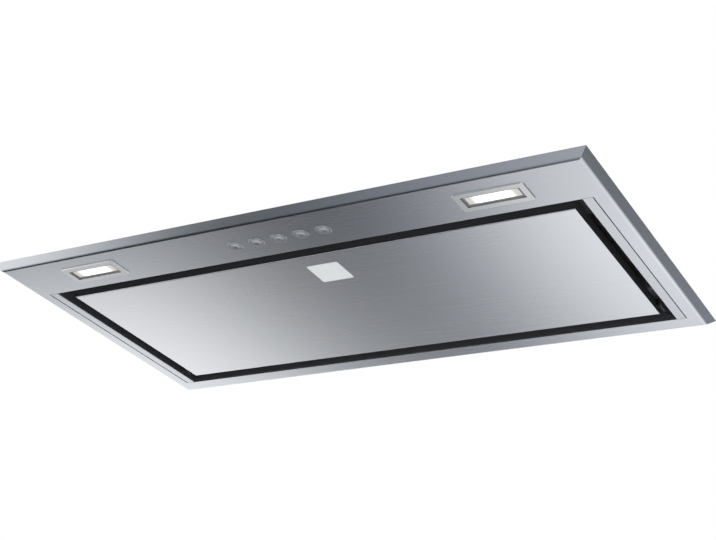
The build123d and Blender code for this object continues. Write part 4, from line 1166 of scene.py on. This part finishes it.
def tent_brightness(tree, settings):
    """Brightness of the tent at each place: the brightest cloth there, and the upper cloth above

    The tent's middle sees each place at two slopes, across and along: how far the place lies
    to the right and to the back for each unit of depth.
    """
    normal = tree.nodes.new("ShaderNodeVectorMath")
    normal.operation = "NORMALIZE"
    tree.links.new(tree.nodes.new("ShaderNodeTexCoord").outputs["Object"], normal.inputs[0])
    place = tree.nodes.new("ShaderNodeSeparateXYZ")
    tree.links.new(normal.outputs[0], place.inputs[0])
    least_depth, glow_span = 0.12, (0.8, 2.6)
    depth = arithmetic(tree, "MULTIPLY", place.outputs["Z"], -1.0)
    depth = arithmetic(tree, "MAXIMUM", depth, least_depth)
    across = arithmetic(tree, "DIVIDE", place.outputs["X"], depth)
    along = arithmetic(tree, "DIVIDE", place.outputs["Y"], depth)
    cloths = (
        fade(tree, along, *glow_span, settings.floor_glow),
        fill_cloth(tree, across, along, settings.fill_cloth),
        left_cloth(tree, across, along, settings.left_cloth),
        right_cloth(tree, across, along, settings.right_cloth),
        near_cloth(tree, across, along, settings.near_cloth),
    )
    upper_right, upper_span, horizon = 0.55, (0.0, -0.3), (-0.2, -0.04)
    above = fade(tree, place.outputs["X"], *upper_span, settings.sky - upper_right)
    whole = tree.nodes.new("ShaderNodeMix")
    tree.links.new(fade(tree, place.outputs["Z"], *horizon), whole.inputs["Factor"])
    tree.links.new(combined(tree, "MAXIMUM", cloths), whole.inputs["A"])
    tree.links.new(arithmetic(tree, "ADD", above, upper_right), whole.inputs["B"])
    return whole.outputs["Result"]


def add_tent(settings):
    """Studio tent that only reflections show, tinted where it is dark"""
    material = bpy.data.materials.new("studio_tent")
    material.use_nodes = True
    tree = material.node_tree
    tree.nodes.clear()
    output = tree.nodes.new("ShaderNodeOutputMaterial")
    brightness = tent_brightness(tree, settings)
    glow = tree.nodes.new("ShaderNodeEmission")
    white = (1, 1, 1)
    tree.links.new(colour_mix(tree, brightness, settings.shade, white), glow.inputs["Color"])
    tree.links.new(brightness, glow.inputs["Strength"])
    tree.links.new(glow.outputs[0], output.inputs["Surface"])
    form = bmesh.new()
    bmesh.ops.create_uvsphere(form, u_segments=96, v_segments=48, radius=settings.radius)
    tent = mesh_object("studio_tent", form, material)
    tent.visible_camera = False
    tent.visible_diffuse = False
    tent.visible_transmission = False
    tent.visible_shadow = False
    tent.visible_volume_scatter = False
    return tent


# Panel and registration


class HOOD_PT_sidebar(Panel):
    """Steps of the hood, in order"""

    bl_idname = "HOOD_PT_sidebar"
    bl_label = "Range hood"
    bl_space_type = "VIEW_3D"
    bl_region_type = "UI"
    bl_category = "Hood"

    def draw(self, context):
        settings = context.scene.range_hood
        for step in STEPS:
            self.layout.operator(step.bl_idname)
        for name in ("stainless", "housing", "lamp", "grease_filter", "plate", "studio", "tent"):
            box = self.layout.box()
            group = getattr(settings, name)
            for key in group.bl_rna.properties.keys():
                if key not in ("rna_type", "name"):
                    box.prop(group, key)


STEPS = (
    HOOD_OT_set_studio,
    HOOD_OT_finish_face,
    HOOD_OT_add_plate,
    HOOD_OT_finish_controls,
    HOOD_OT_finish_lamps,
    HOOD_OT_finish_housing,
    HOOD_OT_add_screws,
    HOOD_OT_finish_blower,
    HOOD_OT_finish_outlet,
    HOOD_OT_add_filters,
)
GROUPS = (
    StainlessSettings,
    HousingSettings,
    LampSettings,
    FilterSettings,
    PlateSettings,
    StudioSettings,
    TentSettings,
    HoodSettings,
)


def register():
    """Registers the settings, the steps and the sidebar panel"""
    for group in GROUPS + STEPS + (HOOD_PT_sidebar,):
        bpy.utils.register_class(group)
    bpy.types.Scene.range_hood = PointerProperty(type=HoodSettings)


def unregister():
    """Takes everything out again"""
    del bpy.types.Scene.range_hood
    for group in reversed(GROUPS + STEPS + (HOOD_PT_sidebar,)):
        bpy.utils.unregister_class(group)


def main():
    """Runs every step"""
    register()
    for step in STEPS:
        section, name = step.bl_idname.split(".")
        getattr(getattr(bpy.ops, section), name)()


if __name__ == "__main__":
    main()
